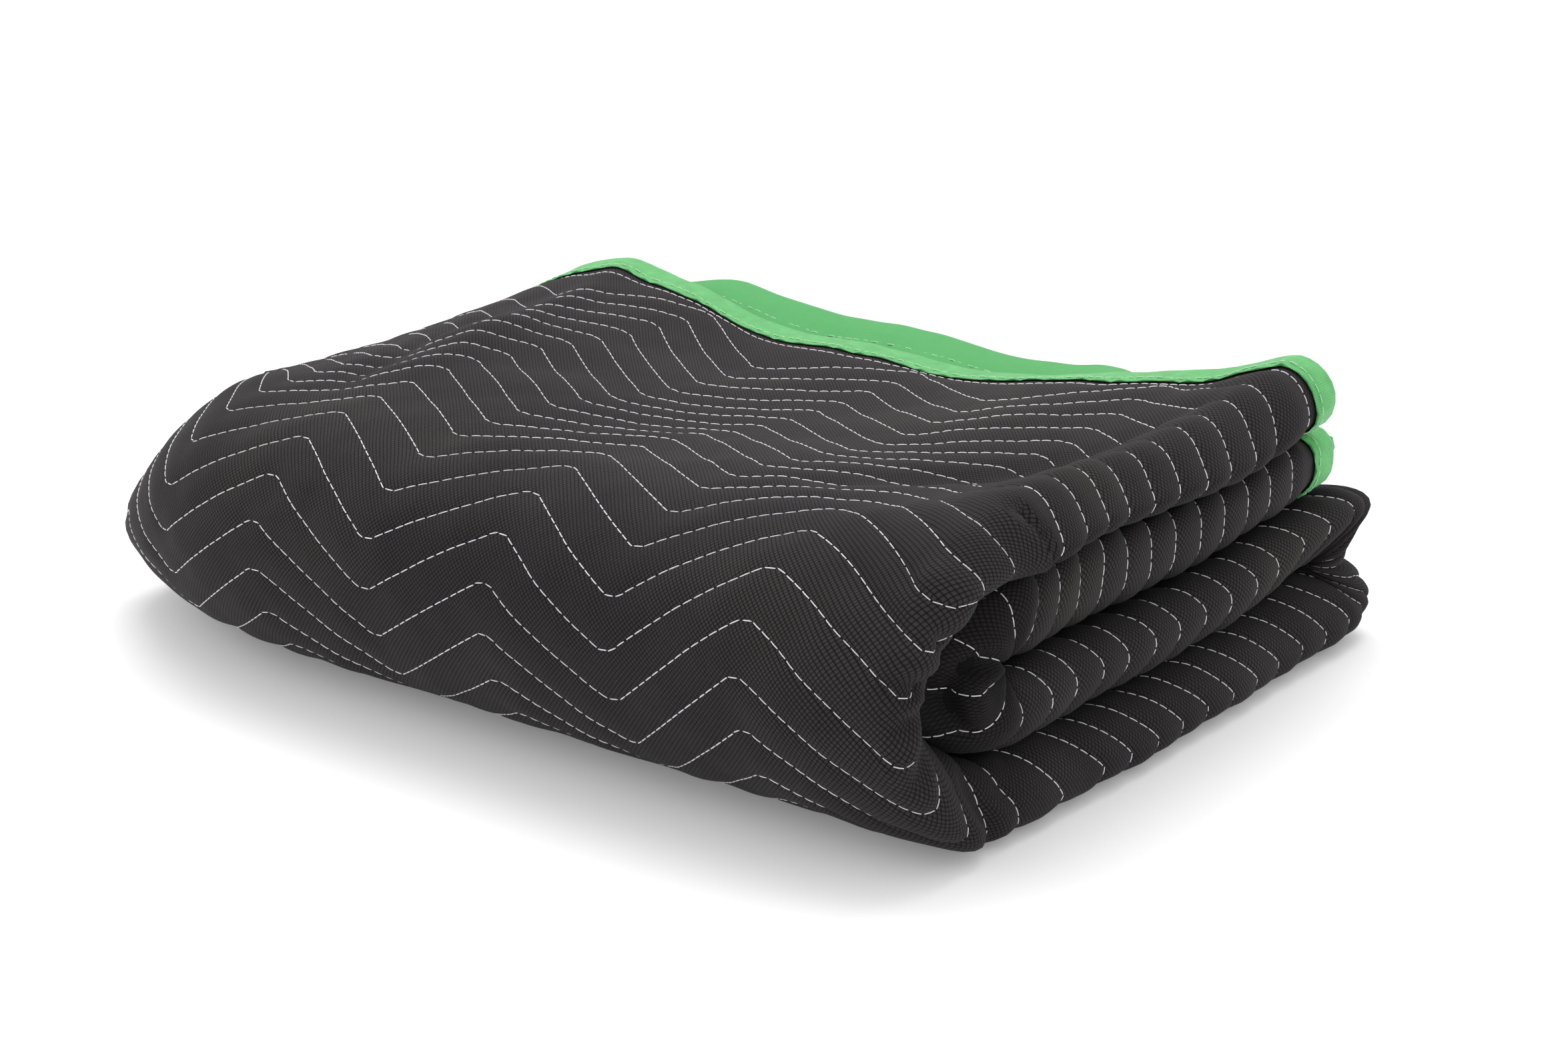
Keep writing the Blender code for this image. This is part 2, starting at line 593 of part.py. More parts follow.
def main():
    for obj in list(bpy.data.objects):
        bpy.data.objects.remove(obj, do_unlink=True)
    collection = bpy.data.collections.new("moving_pad")
    bpy.context.scene.collection.children.link(collection)
    make_pad(fabric("charcoal_cloth", (0.036, 0.034, 0.036), 0.85), collection)
    make_binding(fabric("green_tape", (0.14, 0.66, 0.19), 0.75), collection)


main()
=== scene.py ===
"""The folded moving pad as it looks: quilted charcoal cloth, white stitching and a green bound edge.

The cloth is the same sheet as in the CAD model, folded along the same section and route and settled
in the same way, but with its quilting, puckers and creases in full. Places across the cloth are in metres,
and places along it are counted in rows of stitches.
"""

import collections
import math

import bpy
import numpy as np
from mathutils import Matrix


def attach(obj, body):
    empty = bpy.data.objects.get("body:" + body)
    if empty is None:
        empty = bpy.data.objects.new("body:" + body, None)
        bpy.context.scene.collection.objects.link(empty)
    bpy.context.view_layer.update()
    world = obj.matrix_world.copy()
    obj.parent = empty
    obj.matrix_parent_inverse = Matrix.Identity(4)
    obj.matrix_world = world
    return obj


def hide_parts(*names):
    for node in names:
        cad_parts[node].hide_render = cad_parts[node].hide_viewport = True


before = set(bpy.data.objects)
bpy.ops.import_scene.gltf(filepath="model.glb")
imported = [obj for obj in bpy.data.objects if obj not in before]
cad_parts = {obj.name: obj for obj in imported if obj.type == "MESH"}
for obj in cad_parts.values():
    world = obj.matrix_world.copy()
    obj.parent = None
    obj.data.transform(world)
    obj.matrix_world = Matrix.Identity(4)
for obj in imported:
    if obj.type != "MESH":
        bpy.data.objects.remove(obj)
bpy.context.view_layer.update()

# --- The folded cloth -------------------------------------------------------------------------------

PAD_LENGTH = 0.470  # along X
PAD_DEPTH = 0.357  # along Y, before the front fold fills out
PLY = 0.00864  # from one ply to the next in the stack
CLOTH = 0.0072  # thickness of the quilted cloth between its seams
BOUND_CLOTH = 0.0030  # thickness of the cloth where the tape grips it
TAPE_WIDTH = 0.0165
FADE = 0.016  # how far from the tape the cloth takes to reach its full thickness

# Quilting: rows of zigzag stitches that run across the width of the cloth. A place "across" is counted
# from the middle of the top ply towards the right fold, and then round that fold.
ROW = 0.0198  # from one row of stitches to the next
FRONT_ROW = 0.0223  # the same on the front fold
ZIGZAG_PERIOD = 0.1265
ZIGZAG_REACH = 0.0195  # half the height of the zigzag
ZIGZAG_TURN_X = 0.0985  # where a turn that points to the front lies on the top ply
ZIGZAG_TIP = 1.10  # how far the zigzag would run past its flattened tips
ROW_BOW = 0.45  # how many rows the seams bow back beside the right fold
BOW_ACROSS = (0.06, 0.17, 0.235)  # where the bow begins, is full and ends
BOW_ROWS = (2.0, 9.0)  # the rows where it begins and is full
TOP_SLOWING = 0.034  # how much later the zigzag turns on the top strip's right fold
TOP_SLOWING_ACROSS = (0.150, 0.260)
TOP_SLOWING_END = (12.0, 14.0)  # the rows where that fades out
# How many rows further the seams reach beside the right fold at the near corner.
CORNER_ROWS = [9, 10, 11, 12, 13, 14, 15, 16]
CORNER_DROPS = [0.0, 0.1, 0.4, 1.7, 1.2, 0.65, 0.3, 0.0]
CORNER_ACROSS = (0.17, 0.23)
BOTTOM_SLOWING = 0.006  # how much later the zigzag turns on the bottom strip's right fold
BOTTOM_SLOWING_ACROSS = (0.16, 0.22)
BOTTOM_FOLD_REACH = 0.8  # how much further the zigzag reaches on the bottom strip's right fold
FREE_ROWS = (0.8, 1.6)  # the rows from a free end where the zigzag begins and is full
SEAM_DEPTH = 0.0016  # how far the cloth dips at a row of stitches on the right fold
PUFF = 0.0007  # how far it stands up between two rows there
PUFF_POWER = 0.6  # less makes it fuller there
FLAT_RELIEF = 0.45  # the share of both on the flat plies and the front fold

# The free edges at the left lie a little inside the folds they are stacked with.
FREE_EDGE_INSET = 0.013

STACK_HEIGHT = 16 * PLY
FRONT_RADIUS = 6 * PLY
BACK_RADIUS = 2 * PLY
FRONT_CENTRE = -PAD_DEPTH / 2 + 8 * PLY
BACK_CENTRE = PAD_DEPTH / 2 - 4 * PLY
TOP_END = 0.1280
SECOND_END = 0.1500
RIGHT_CENTRE = PAD_LENGTH / 2 - 2 * PLY
LEFT_CENTRE = -PAD_LENGTH / 2 + PLY

# The strip seen from its end: a row for each straight ply or fold, from the bottom ply's free edge.
# Lengths are real ones; a positive turn bends to the left of the way along the line.
SECTION = [
    # name, straight length, fold radius, turn in half circles
    ("bottom_ply", RIGHT_CENTRE - LEFT_CENTRE - FREE_EDGE_INSET, 0.0, 0),
    ("right_fold", 0.0, 1.5 * PLY, 1),
    ("top_ply", RIGHT_CENTRE - LEFT_CENTRE, 0.0, 0),
    ("left_fold", 0.0, 0.5 * PLY, 1),
    ("third_ply", RIGHT_CENTRE - LEFT_CENTRE, 0.0, 0),
    ("inner_fold", 0.0, 0.5 * PLY, -1),
    ("fourth_ply", RIGHT_CENTRE - LEFT_CENTRE - FREE_EDGE_INSET, 0.0, 0),
]

# The strip's route through the stack, from the top strip's free end. Folds count their rows of stitches
# on a ply near the outside: 7.26 plies out at the front and 4 at the back and in the middle.
ROUTE = [
    # name, straight length, fold radius, turn in half circles, radius that its rows are counted on
    ("top_strip", TOP_END - FRONT_CENTRE, 0.0, 0, 0.0),
    ("front_fold", 0.0, FRONT_RADIUS, 1, 7.26 * PLY),
    ("bottom_strip", BACK_CENTRE - FRONT_CENTRE, 0.0, 0, 0.0),
    ("back_fold", 0.0, BACK_RADIUS, 1, 4 * PLY),
    ("third_strip", BACK_CENTRE - FRONT_CENTRE, 0.0, 0, 0.0),
    ("middle_fold", 0.0, BACK_RADIUS, -1, 4 * PLY),
    ("second_strip", SECOND_END - FRONT_CENTRE, 0.0, 0, 0.0),
]
FRONT_EVENING = 0.0255  # evens out the rows' spacing round the front fold
FRONT_LAG = 0.032  # how far the rows there hang back towards the top

# Height of the settled stack's top, every 60 mm from the left edge to the right one (columns) and every
# 60 mm from the front to the back (rows).
HEIGHT_X = (-0.240, 0.240)
HEIGHT_Y = (-0.130, 0.170)
TOP_HEIGHTS = [
    [0.084, 0.106, 0.115, 0.119, 0.119, 0.119, 0.122, 0.126, 0.137],
    [0.085, 0.104, 0.117, 0.120, 0.112, 0.115, 0.117, 0.118, 0.139],
    [0.083, 0.102, 0.119, 0.110, 0.103, 0.105, 0.109, 0.110, 0.137],
    [0.082, 0.102, 0.113, 0.102, 0.099, 0.101, 0.110, 0.112, 0.136],
    [0.082, 0.106, 0.110, 0.099, 0.101, 0.100, 0.110, 0.119, 0.141],
    [0.085, 0.112, 0.108, 0.100, 0.100, 0.096, 0.105, 0.123, 0.141],
]

# The settled stack. Each pair says where along one direction a move begins and where it is full.
RIGHT_PART = (0.10, 0.22)
FRONT_PART = (0.02, 0.16)
BACK_PART = (0.08, 0.17)

# The front fold is fuller than half a circle, and draws back at both ends.
FRONT_FULLNESS = 2.3  # 2 would be round, more is squarer
FRONT_STRETCH = 1.137
FRONT_LEAN = 0.012
LEFT_DRAW = 0.055
LEFT_TOP_DRAW = 0.045  # how much more its upper part draws back
LEFT_TOP_Z = (0.05, 0.14)
LEFT_DRAW_X = (-0.100, -0.235)
LEFT_DRAW_POWER = 2.2
FRONT_RIGHT_DRAW = 0.006
FRONT_RIGHT_X = (0.19, 0.24)
CORNER_DRAW = 0.026  # how far the near right corner of the top draws back
CORNER_X = (0.150, 0.235)
CORNER_Z = (0.050, 0.118)

# How far the right folds reach out, by their height in the even stack in plies.
STRIP_HEIGHTS = [0.0, 0.8, 2.0, 3.6, 4.4, 6.0, 7.6, 8.4, 10.0, 11.6, 12.4, 14.0, 15.5, 16.0]
STRIP_REACH = [
    0.006, 0.008, 0.005, -0.002, 0.001, 0.001, -0.002,
    -0.003, -0.004, -0.002, 0.004, 0.000, -0.005, -0.005,
]
STRIP_Y = (0.150, 0.115)  # the front fold takes up a gentler shape between these
FRONT_HEIGHTS = [0.0, 2.0, 6.0, 10.0, 14.0, 16.0]
FRONT_REACH = [0.005, 0.005, 0.000, -0.004, -0.001, -0.001]
LOW_BULGE = 0.006  # how far the top strip's right fold bulges low down
LOW_BULGE_Z = (12.8 * PLY, 0.9 * PLY)  # middle and half height
LOW_BULGE_END = (0.06, 0.14)  # where it ends towards the back
PINCH = 0.008  # how far the front fold's right edge is pinched in
PINCH_Z = (0.062, 0.034)  # middle and half height
PINCH_X = (0.19, 0.235)
PINCH_Y = (0.105, 0.15)
END_EDGE = 0.014  # how far the front fold's right end is sheared into an edge at its outer ply
END_EDGE_RINGS = [2.2, 4.0, 6.0, 8.0]  # in plies out from the middle of the fold
END_EDGE_SHARES = [0.0, -1.0, 0.0, 1.0]
END_EDGE_Y = (0.115, 0.150)
END_EDGE_Z = (0.118, 0.092)
EDGE_LIFT = 0.005  # how far the top strip's right fold rises off the one below it
EDGE_LIFT_Z = (12 * PLY, 1.6 * PLY)  # middle and half height
EDGE_LIFT_X = (0.17, 0.22)
EDGE_LIFT_Y = (-0.045, 0.080)  # middle and half length
FOOT_DRAW = 0.005  # how far the bottom strip's right fold draws in at the front
FOOT_Z = (0.02, 0.05)
FOOT_Y = (0.03, 0.15)

# At the right the back fold parts into two rounded tips, and the lower folds rise towards the back.
NOTCH_DEPTH = 0.022
NOTCH_Z = (4.2 * PLY, 0.011)  # middle and half height
NOTCH_X = (0.17, 0.235)
FAR_TIP = 0.011  # how far the upper tip sticks out
FAR_TIP_Z = (6.6 * PLY, 1.3 * PLY)  # middle and half height
FAR_TIP_X = (0.18, 0.24)
FAR_LIFT = 0.007
FAR_LIFT_Z = (0.042, 0.022)  # middle and half height
FAR_LIFT_X = (0.15, 0.22)
FAR_LIFT_Y = (0.04, 0.15)
BACK_WAVE = 0.004
BACK_WAVE_LENGTH = 0.09

# The top strip's free end: how far back it lies, how much it skews along X, how much the top ply alone
# draws forward in its middle, and how the ply below it lies further out and curls up there. The second
# strip's end skews and waves a little.
TOP_END_BACK = 0.012
TOP_END_SKEW = -0.050
TOP_PLY_DRAW = 0.012
TOP_PLY_DRAW_REACH = 0.15
THIRD_PLY_OUT = 0.022
THIRD_PLY_CURL = 0.007
THIRD_PLY_LEFT = (-0.150, -0.105)  # where its left part begins to lie out and is fully out
THIRD_PLY_RIGHT = (0.155, 0.095)
THIRD_PLY_CURL_LENGTH = 0.018
SECOND_END_SKEW = -0.02
SECOND_END_WAVE = 0.010
SECOND_END_WAVES = 9.0  # radians for each metre across the cloth
END_FADE_ROWS = 11.0  # rows that the ends' shifts take to fade out
END_FADE_POWER = 1.5

# On the two inner strips the zigzag turns the other way near the right fold's middle, and it is flatter
# on the second strip.
BENT_NEAR = 0.03
BENT_FAR = 0.07
SECOND_STRIP_FLATTENING = 0.7

# The middle of the settled stack's box, which becomes the origin.
MIDDLE_X = 0.00455
MIDDLE_Y = -0.00355

# Slight waves in the whole cloth: height, radians for each metre across it and along it, and start.
WAVES = [
    (0.00030, 62.0, 41.0, 0.4), (0.00028, -47.0, 88.0, 2.1), (0.00022, 139.0, -67.0, 4.0),
    (0.00018, 101.0, 163.0, 1.3), (0.00012, -231.0, 152.0, 5.2), (0.00010, 287.0, 203.0, 3.3),
]

# Creases and soft ridges: where each runs, how wide it is and how far it moves the cloth out.
# Its place is counted from the middle of the top ply towards the right fold, and then round that fold.
Crease = collections.namedtuple("Crease", "across row to_across to_row width lift")
CREASES = [
    Crease(-0.100, 10.0, -0.163, 0.0, 0.012, 0.0050),
    Crease(-0.124, 11.5, -0.168, 5.2, 0.010, -0.0055),
    Crease(0.128, 11.0, 0.203, 3.0, 0.010, -0.0050),
    Crease(0.066, 12.2, 0.092, 10.4, 0.008, 0.0018),
    # The slit where the near corner's flap laps over the top strip's right fold, and the flap.
    Crease(0.2270, 12.9, 0.2440, 12.9, 0.0030, -0.0100),
    Crease(0.2260, 13.3, 0.2440, 13.3, 0.0045, 0.0040),
    # The corner's tip, and the gathers in the front fold's pinched edge.
    Crease(0.2160, 15.4, 0.2330, 14.9, 0.0080, 0.0035),
    Crease(0.2380, 16.2, 0.2240, 15.8, 0.0034, -0.0050),
    Crease(0.2380, 16.8, 0.2190, 16.6, 0.0034, -0.0060),
    Crease(0.2380, 17.2, 0.2210, 17.3, 0.0034, -0.0050),
    Crease(0.2390, 18.0, 0.2230, 18.3, 0.0036, -0.0040),
    Crease(0.2350, 17.6, 0.2200, 17.8, 0.0036, 0.0025),
    # The lowest fold's near lobe.
    Crease(0.2430, 19.9, 0.2290, 20.9, 0.0045, -0.0045),
    Crease(0.2390, 20.6, 0.2440, 21.8, 0.0040, -0.0020),
    # The hollow between the inner folds' near ends, and the nested plies' gathers beside it.
    Crease(0.2370, 56.5, 0.2470, 55.9, 0.0050, -0.0150),
    Crease(0.2495, 55.7, 0.2490, 54.6, 0.0036, -0.0130),
    Crease(0.2545, 55.8, 0.2560, 54.8, 0.0040, 0.0050),
    # The inner folds' near ends.
    Crease(0.2420, 55.6, 0.2430, 54.6, 0.0040, 0.0045),
    Crease(0.2380, 55.4, 0.2410, 54.3, 0.0040, -0.0025),
]


def folded_line(start, heading, parts, place):
    """Points and right-hand normals at each place along a line of straight parts and round folds."""
    place = np.asarray(place, float)
    point = np.array(start, float)
    points = np.zeros(place.shape + (2,))
    normals = np.zeros(place.shape + (2,))
    begin = 0.0
    for index, (length, radius, turn) in enumerate(parts):
        span = length if turn == 0 else math.pi * radius
        low = -np.inf if index == 0 else begin
        high = np.inf if index == len(parts) - 1 else begin + span
        inside = (place >= low) & (place <= high)
        run = place[inside] - begin
        along = np.array([math.cos(heading), math.sin(heading)])
        right = np.array([along[1], -along[0]])
        if turn == 0:
            points[inside] = point + run[:, None] * along
            normals[inside] = right
            point = point + span * along
        else:
            angle = heading + turn * run / radius
            centre = point - turn * radius * right
            normals[inside] = np.stack([np.sin(angle), -np.cos(angle)], -1)
            points[inside] = centre + turn * radius * normals[inside]
            heading += turn * math.pi
            point = centre - turn * radius * right
        begin += span
    return points, normals


def section_line(place):
    parts = [row[1:] for row in SECTION]
    return folded_line((LEFT_CENTRE + FREE_EDGE_INSET, -1.5 * PLY), 0.0, parts, place)


def route_line(place):
    parts = [row[1:4] for row in ROUTE]
    return folded_line((TOP_END, 14 * PLY), math.pi, parts, place)


def lengths_of(parts, radius=2):
    """The length of each ply, and of each fold by the column of radii named."""
    return [row[1] if row[3] == 0 else math.pi * row[radius] for row in parts]


def breaks_of(lengths):
    return np.concatenate([[0.0], np.cumsum(lengths)])


SECTION_BREAKS = breaks_of(lengths_of(SECTION))
ROUTE_BREAKS = breaks_of(lengths_of(ROUTE))
ROW_BREAKS = breaks_of([length / ROW for length in lengths_of(ROUTE, radius=4)])
CLOTH_WIDTH = SECTION_BREAKS[-1]
ROWS = ROW_BREAKS[-1]
RIGHT_FOLD_MIDDLE = (SECTION_BREAKS[1] + SECTION_BREAKS[2]) / 2
TOP_MIDDLE = SECTION_BREAKS[2] + RIGHT_CENTRE  # the place at the middle of the top ply
ZIGZAG_TURN = TOP_MIDDLE - ZIGZAG_TURN_X
ZIGZAG_TURNS = ZIGZAG_TURN + ZIGZAG_PERIOD / 2 * np.arange(-20, 20)  # more than the cloth has


def smooth(low, high, value):
    """0 at low, 1 at high and an S curve between them."""
    t = np.clip((value - low) / (high - low), 0.0, 1.0)
    return t * t * (3 - 2 * t)


def hump(middle, half_width, value):
    """1 at the middle, fading out a little beyond the half width."""
    return np.exp(-(((value - middle) / half_width) ** 2))


def route_place(row):
    """The length along the strip's route at a row of stitches, which need not be a whole one."""
    row = np.asarray(row, float)
    place = np.interp(row, ROW_BREAKS, ROUTE_BREAKS)
    turn = math.pi * np.clip((row - ROW_BREAKS[1]) / (ROW_BREAKS[2] - ROW_BREAKS[1]), 0, 1)
    lag = FRONT_EVENING * np.sin(2 * turn) + FRONT_LAG * np.sin(turn)
    place = place - lag * (ROUTE_BREAKS[2] - ROUTE_BREAKS[1])
    place = np.where(row < 0, row * ROW, place)
    return np.where(row > ROWS, ROUTE_BREAKS[-1] + (row - ROWS) * ROW, place)


def curve_weights(value, low, high, count):
    """Weights of evenly spaced table columns for a smooth curve through them."""
    t = np.clip((value - low) / (high - low), 0.0, 1.0) * (count - 1)
    cell = np.minimum(t.astype(int), count - 2)
    f = t - cell
    weights = np.zeros(f.shape + (count,))
    basis = (
        -0.5 * f + f**2 - 0.5 * f**3,
        1 - 2.5 * f**2 + 1.5 * f**3,
        0.5 * f + 2 * f**2 - 1.5 * f**3,
        -0.5 * f**2 + 0.5 * f**3,
    )
    for step, part in zip((-1, 0, 1, 2), basis):
        column = np.clip(cell + step, 0, count - 1)[..., None]
        held = np.take_along_axis(weights, column, -1)
        np.put_along_axis(weights, column, held + part[..., None], -1)
    return weights


def top_height(x, y):
    table = np.array(TOP_HEIGHTS)
    across = curve_weights(x, *HEIGHT_X, table.shape[1])
    along = curve_weights(y, *HEIGHT_Y, table.shape[0])
    return np.einsum("...i,ij,...j->...", along, table, across)


def fuller_front(y, z):
    """The front fold of the even stack made deeper and squarer, its upper half leaning out."""
    half = STACK_HEIGHT / 2
    out = np.maximum(FRONT_CENTRE - y, 0.0) / half
    level = z / half - 1
    squared = (np.abs(out) ** FRONT_FULLNESS + np.abs(level) ** FRONT_FULLNESS) ** (1 / FRONT_FULLNESS)
    grow = np.where(out > 0, np.hypot(out, level) / np.maximum(squared, 1e-9), 1.0)
    out, level = out * grow, level * grow
    y2 = np.where(out > 0, FRONT_CENTRE - FRONT_STRETCH * half * out - FRONT_LEAN * out * level, y)
    return y2, (level + 1) * half


def settle(points):
    """Moves points of the even stack to where the cloth lies: sunken, and soft at its corners."""
    x, y, z = points[..., 0], points[..., 1], points[..., 2]
    right, front, back = smooth(*RIGHT_PART, x), smooth(*FRONT_PART, -y), smooth(*BACK_PART, y)
    # Along X, only the right side moves.
    strips = smooth(*STRIP_Y, -y)
    level = z / PLY
    reach = strips * np.interp(level, STRIP_HEIGHTS, STRIP_REACH)
    reach = reach + (1 - strips) * np.interp(level, FRONT_HEIGHTS, FRONT_REACH)
    bulge = LOW_BULGE * strips * hump(*LOW_BULGE_Z, z) * (1 - smooth(*LOW_BULGE_END, y))
    x2 = x + right * (reach + bulge)
    x2 = x2 - PINCH * hump(*PINCH_Z, z) * smooth(*PINCH_X, x) * smooth(*PINCH_Y, -y)
    ring = np.hypot(y - FRONT_CENTRE, z - STACK_HEIGHT / 2) / PLY
    sheared = END_EDGE * np.interp(ring, END_EDGE_RINGS, END_EDGE_SHARES) * smooth(*PINCH_X, x)
    x2 = x2 + sheared * smooth(*END_EDGE_Y, -y) * smooth(*END_EDGE_Z, z)
    x2 = x2 - FOOT_DRAW * (1 - smooth(*FOOT_Z, z)) * right * smooth(*FOOT_Y, -y)
    y2, z2 = fuller_front(y, z)
    z2 = np.maximum((z2 - (PLY - CLOTH) / 2) * top_height(x, y2) / STACK_HEIGHT, 0.0)
    # Along Y, the front draws back at its ends and corner, and the back parts into two tips.
    left = np.maximum((x - LEFT_DRAW_X[0]) / (LEFT_DRAW_X[1] - LEFT_DRAW_X[0]), 0.0) ** LEFT_DRAW_POWER
    draw = (LEFT_DRAW + LEFT_TOP_DRAW * smooth(*LEFT_TOP_Z, z)) * left
    draw = draw + FRONT_RIGHT_DRAW * smooth(*FRONT_RIGHT_X, x)
    draw = draw + CORNER_DRAW * smooth(*CORNER_X, x) * smooth(*CORNER_Z, z2)
    y2 = y2 + front * draw
    y2 = y2 - NOTCH_DEPTH * hump(*NOTCH_Z, z) * back * smooth(*NOTCH_X, x)
    y2 = y2 + FAR_TIP * hump(*FAR_TIP_Z, z) * back * smooth(*FAR_TIP_X, x)
    y2 = y2 + BACK_WAVE * back * np.sin(x / BACK_WAVE_LENGTH)
    z2 = z2 + EDGE_LIFT * hump(*EDGE_LIFT_Z, z) * smooth(*EDGE_LIFT_X, x) * hump(*EDGE_LIFT_Y, y)
    z2 = z2 + FAR_LIFT * hump(*FAR_LIFT_Z, z) * smooth(*FAR_LIFT_X, x) * smooth(*FAR_LIFT_Y, y)
    return np.stack([x2 - MIDDLE_X, y2 - MIDDLE_Y, z2], -1)


def end_middle(x):
    """1 in the middle of the top strip's free end, falling to 0 towards its sides."""
    return np.cos(np.clip(x / TOP_PLY_DRAW_REACH, -1, 1) * math.pi / 2)


def third_middle(place, x):
    """1 over the middle of the third ply's free end, falling to 0 towards its sides and off that ply."""
    on_third = (place >= SECTION_BREAKS[3]) & (place < SECTION_BREAKS[5])
    return on_third * smooth(*THIRD_PLY_LEFT, x) * smooth(*THIRD_PLY_RIGHT, x)


def end_fade(rows):
    """1 at a free end, fading out over some rows into the cloth."""
    return np.clip(1 - rows / END_FADE_ROWS, 0, 1.2) ** END_FADE_POWER


def end_shift(place, row, x):
    """How far along Y a ply's free end lies from the even one, fading out along its strip."""
    on_top = (place > SECTION_BREAKS[2]) & (place < SECTION_BREAKS[3])
    moved = THIRD_PLY_OUT * third_middle(place, x) - TOP_PLY_DRAW * on_top * end_middle(x)
    top = TOP_END_BACK + TOP_END_SKEW * x + moved
    second = SECOND_END_WAVE * np.cos(place * SECOND_END_WAVES) + SECOND_END_SKEW * x
    return top * end_fade(row) + second * end_fade(ROWS - row)


def end_curl(place, row, x):
    """How far the third ply's free end curls up behind the top ply's."""
    return THIRD_PLY_CURL * third_middle(place, x) * smooth(THIRD_PLY_CURL_LENGTH, 0.0, row * ROW)


def crease_lift(place, row):
    """How far the creases, soft ridges and slight waves move the cloth outwards at a place and row."""
    lift = np.zeros(np.broadcast(place, row).shape)
    for height, turns_across, turns_along, start in WAVES:
        lift += height * np.sin(turns_across * place + turns_along * row * ROW + start)
    for crease in CREASES:
        start = np.array([crease.across, crease.row * ROW])
        run = np.array([crease.to_across, crease.to_row * ROW]) - start
        length = np.hypot(*run)
        from_start = np.broadcast_arrays(TOP_MIDDLE - place - start[0], row * ROW - start[1])
        from_start = np.stack(from_start, -1)
        along = np.clip(from_start @ run / length**2, 0, 1)
        away = np.linalg.norm(from_start - along[..., None] * run, axis=-1)
        fullest_midway = np.sin(math.pi * (0.15 + 0.7 * along))
        lift += crease.lift * hump(0.0, crease.width, away) * fullest_midway
    return lift


def cloth_point(place, row, out):
    """The point at a place across the cloth and a row along it, out from the middle of its thickness."""
    place, row, out = np.broadcast_arrays(*(np.asarray(v, float) for v in (place, row, out)))
    out = out + crease_lift(place, row)
    section, outward = section_line(place)
    x = section[..., 0]
    section = section + out[..., None] * outward
    route, up = route_line(route_place(row))
    yz = route + section[..., 1:] * up
    points = settle(np.stack([section[..., 0], yz[..., 0] + end_shift(place, row, x), yz[..., 1]], -1))
    points[..., 2] += end_curl(place, row, x)
    return points


def fullness(place, row):
    """0 where the tape grips the cloth, rising to 1 where it has its full thickness."""
    edges = np.broadcast_arrays(place, CLOTH_WIDTH - place, row * ROW, (ROWS - row) * ROW)
    return smooth(TAPE_WIDTH, TAPE_WIDTH + FADE, np.minimum.reduce(edges))


def half_thickness(place, row):
    return (BOUND_CLOTH + (CLOTH - BOUND_CLOTH) * fullness(place, row)) / 2


def wave(distance):
    """A zigzag's height at a distance from one of its low turns, from -1 to 1, with short flat tips."""
    height = 1 - 4 * np.abs((distance / ZIGZAG_PERIOD) % 1.0 - 0.5)
    return np.clip(height * ZIGZAG_TIP, -1, 1)


def on_rows(row, first, last, soft=1.0):
    """1 from one numbered break in the rows to another, soft at both."""
    begin, end = ROW_BREAKS[first], ROW_BREAKS[last]
    return smooth(begin - soft, begin + soft, row) * (1 - smooth(end - soft, end + soft, row))


def near_right_fold(place):
    return 1 - smooth(BENT_NEAR, BENT_FAR, np.abs(place - RIGHT_FOLD_MIDDLE))


def zigzag(place, row):
    """The zigzag's height at a place across the cloth. The inner strips' right folds show it turned."""
    across = TOP_MIDDLE - place
    later = TOP_SLOWING * smooth(*TOP_SLOWING_ACROSS, across) * (1 - smooth(*TOP_SLOWING_END, row))
    later = later + BOTTOM_SLOWING * smooth(*BOTTOM_SLOWING_ACROSS, across) * on_rows(row, 2, 7)
    flat = wave(place + later - ZIGZAG_TURN)
    flatter = 1 - SECOND_STRIP_FLATTENING * smooth(ROW_BREAKS[5], ROW_BREAKS[6], row)
    bent = -wave(place - RIGHT_FOLD_MIDDLE) * flatter
    return flat + (bent - flat) * near_right_fold(place) * smooth(ROW_BREAKS[3], ROW_BREAKS[4], row)


def stitched_row(place, row):
    """The row's real position at a place, once the zigzag and the bow have moved it."""
    across = TOP_MIDDLE - place
    spacing = ROW + (FRONT_ROW - ROW) * on_rows(row, 1, 2)
    spacing = spacing / (1 + BOTTOM_FOLD_REACH * near_right_fold(place) * on_rows(row, 2, 3))
    begin, full, end = BOW_ACROSS
    bow = ROW_BOW * smooth(begin, full, across) * (1 - smooth(full, end, across))
    bow = bow * smooth(*BOW_ROWS, row) * (1 - on_rows(row, 2, 7))
    drop = np.interp(row, CORNER_ROWS, CORNER_DROPS) * smooth(*CORNER_ACROSS, across)
    ends = smooth(*FREE_ROWS, row) * smooth(*FREE_ROWS, ROWS - row)
    return row - (ZIGZAG_REACH / spacing * zigzag(place, row) + bow - drop) * ends


def quilting(place, step):
    """How far the outer face stands out between the rows of stitches, more on the right fold."""
    deeper = FLAT_RELIEF + (1 - FLAT_RELIEF) * near_right_fold(place)
    return deeper * (-SEAM_DEPTH + (SEAM_DEPTH + PUFF) * np.abs(np.sin(math.pi * step)) ** PUFF_POWER)


def outer_face(place, row, step):
    """How far the quilted outer face lies out from the middle of the cloth's thickness."""
    return half_thickness(place, row) + quilting(place, step) * fullness(place, row) ** 0.5


CREVICE_BESIDE = (0.003, 0.020)  # from the right fold's middle to where the painted shade in the crevices begins and is deepest
CORNER_SHADE = 0.6  # how much painted shade the hollow at the near corner gets, as a share of a crevice's


def painted_crevice_shade(place, row):
    """How much shade is painted on the outer face: 1 where it turns in between two folds at the right, 0
    where it lies open.
    """
    beside = place - RIGHT_FOLD_MIDDLE
    inner = smooth(ROW_BREAKS[3] - 1, ROW_BREAKS[4], row)
    turned_in_shade = np.where(beside > 0, inner, 1.0) * smooth(*CREVICE_BESIDE, np.abs(beside))
    return np.maximum(turned_in_shade, CORNER_SHADE * on_rows(row, 5, 6))


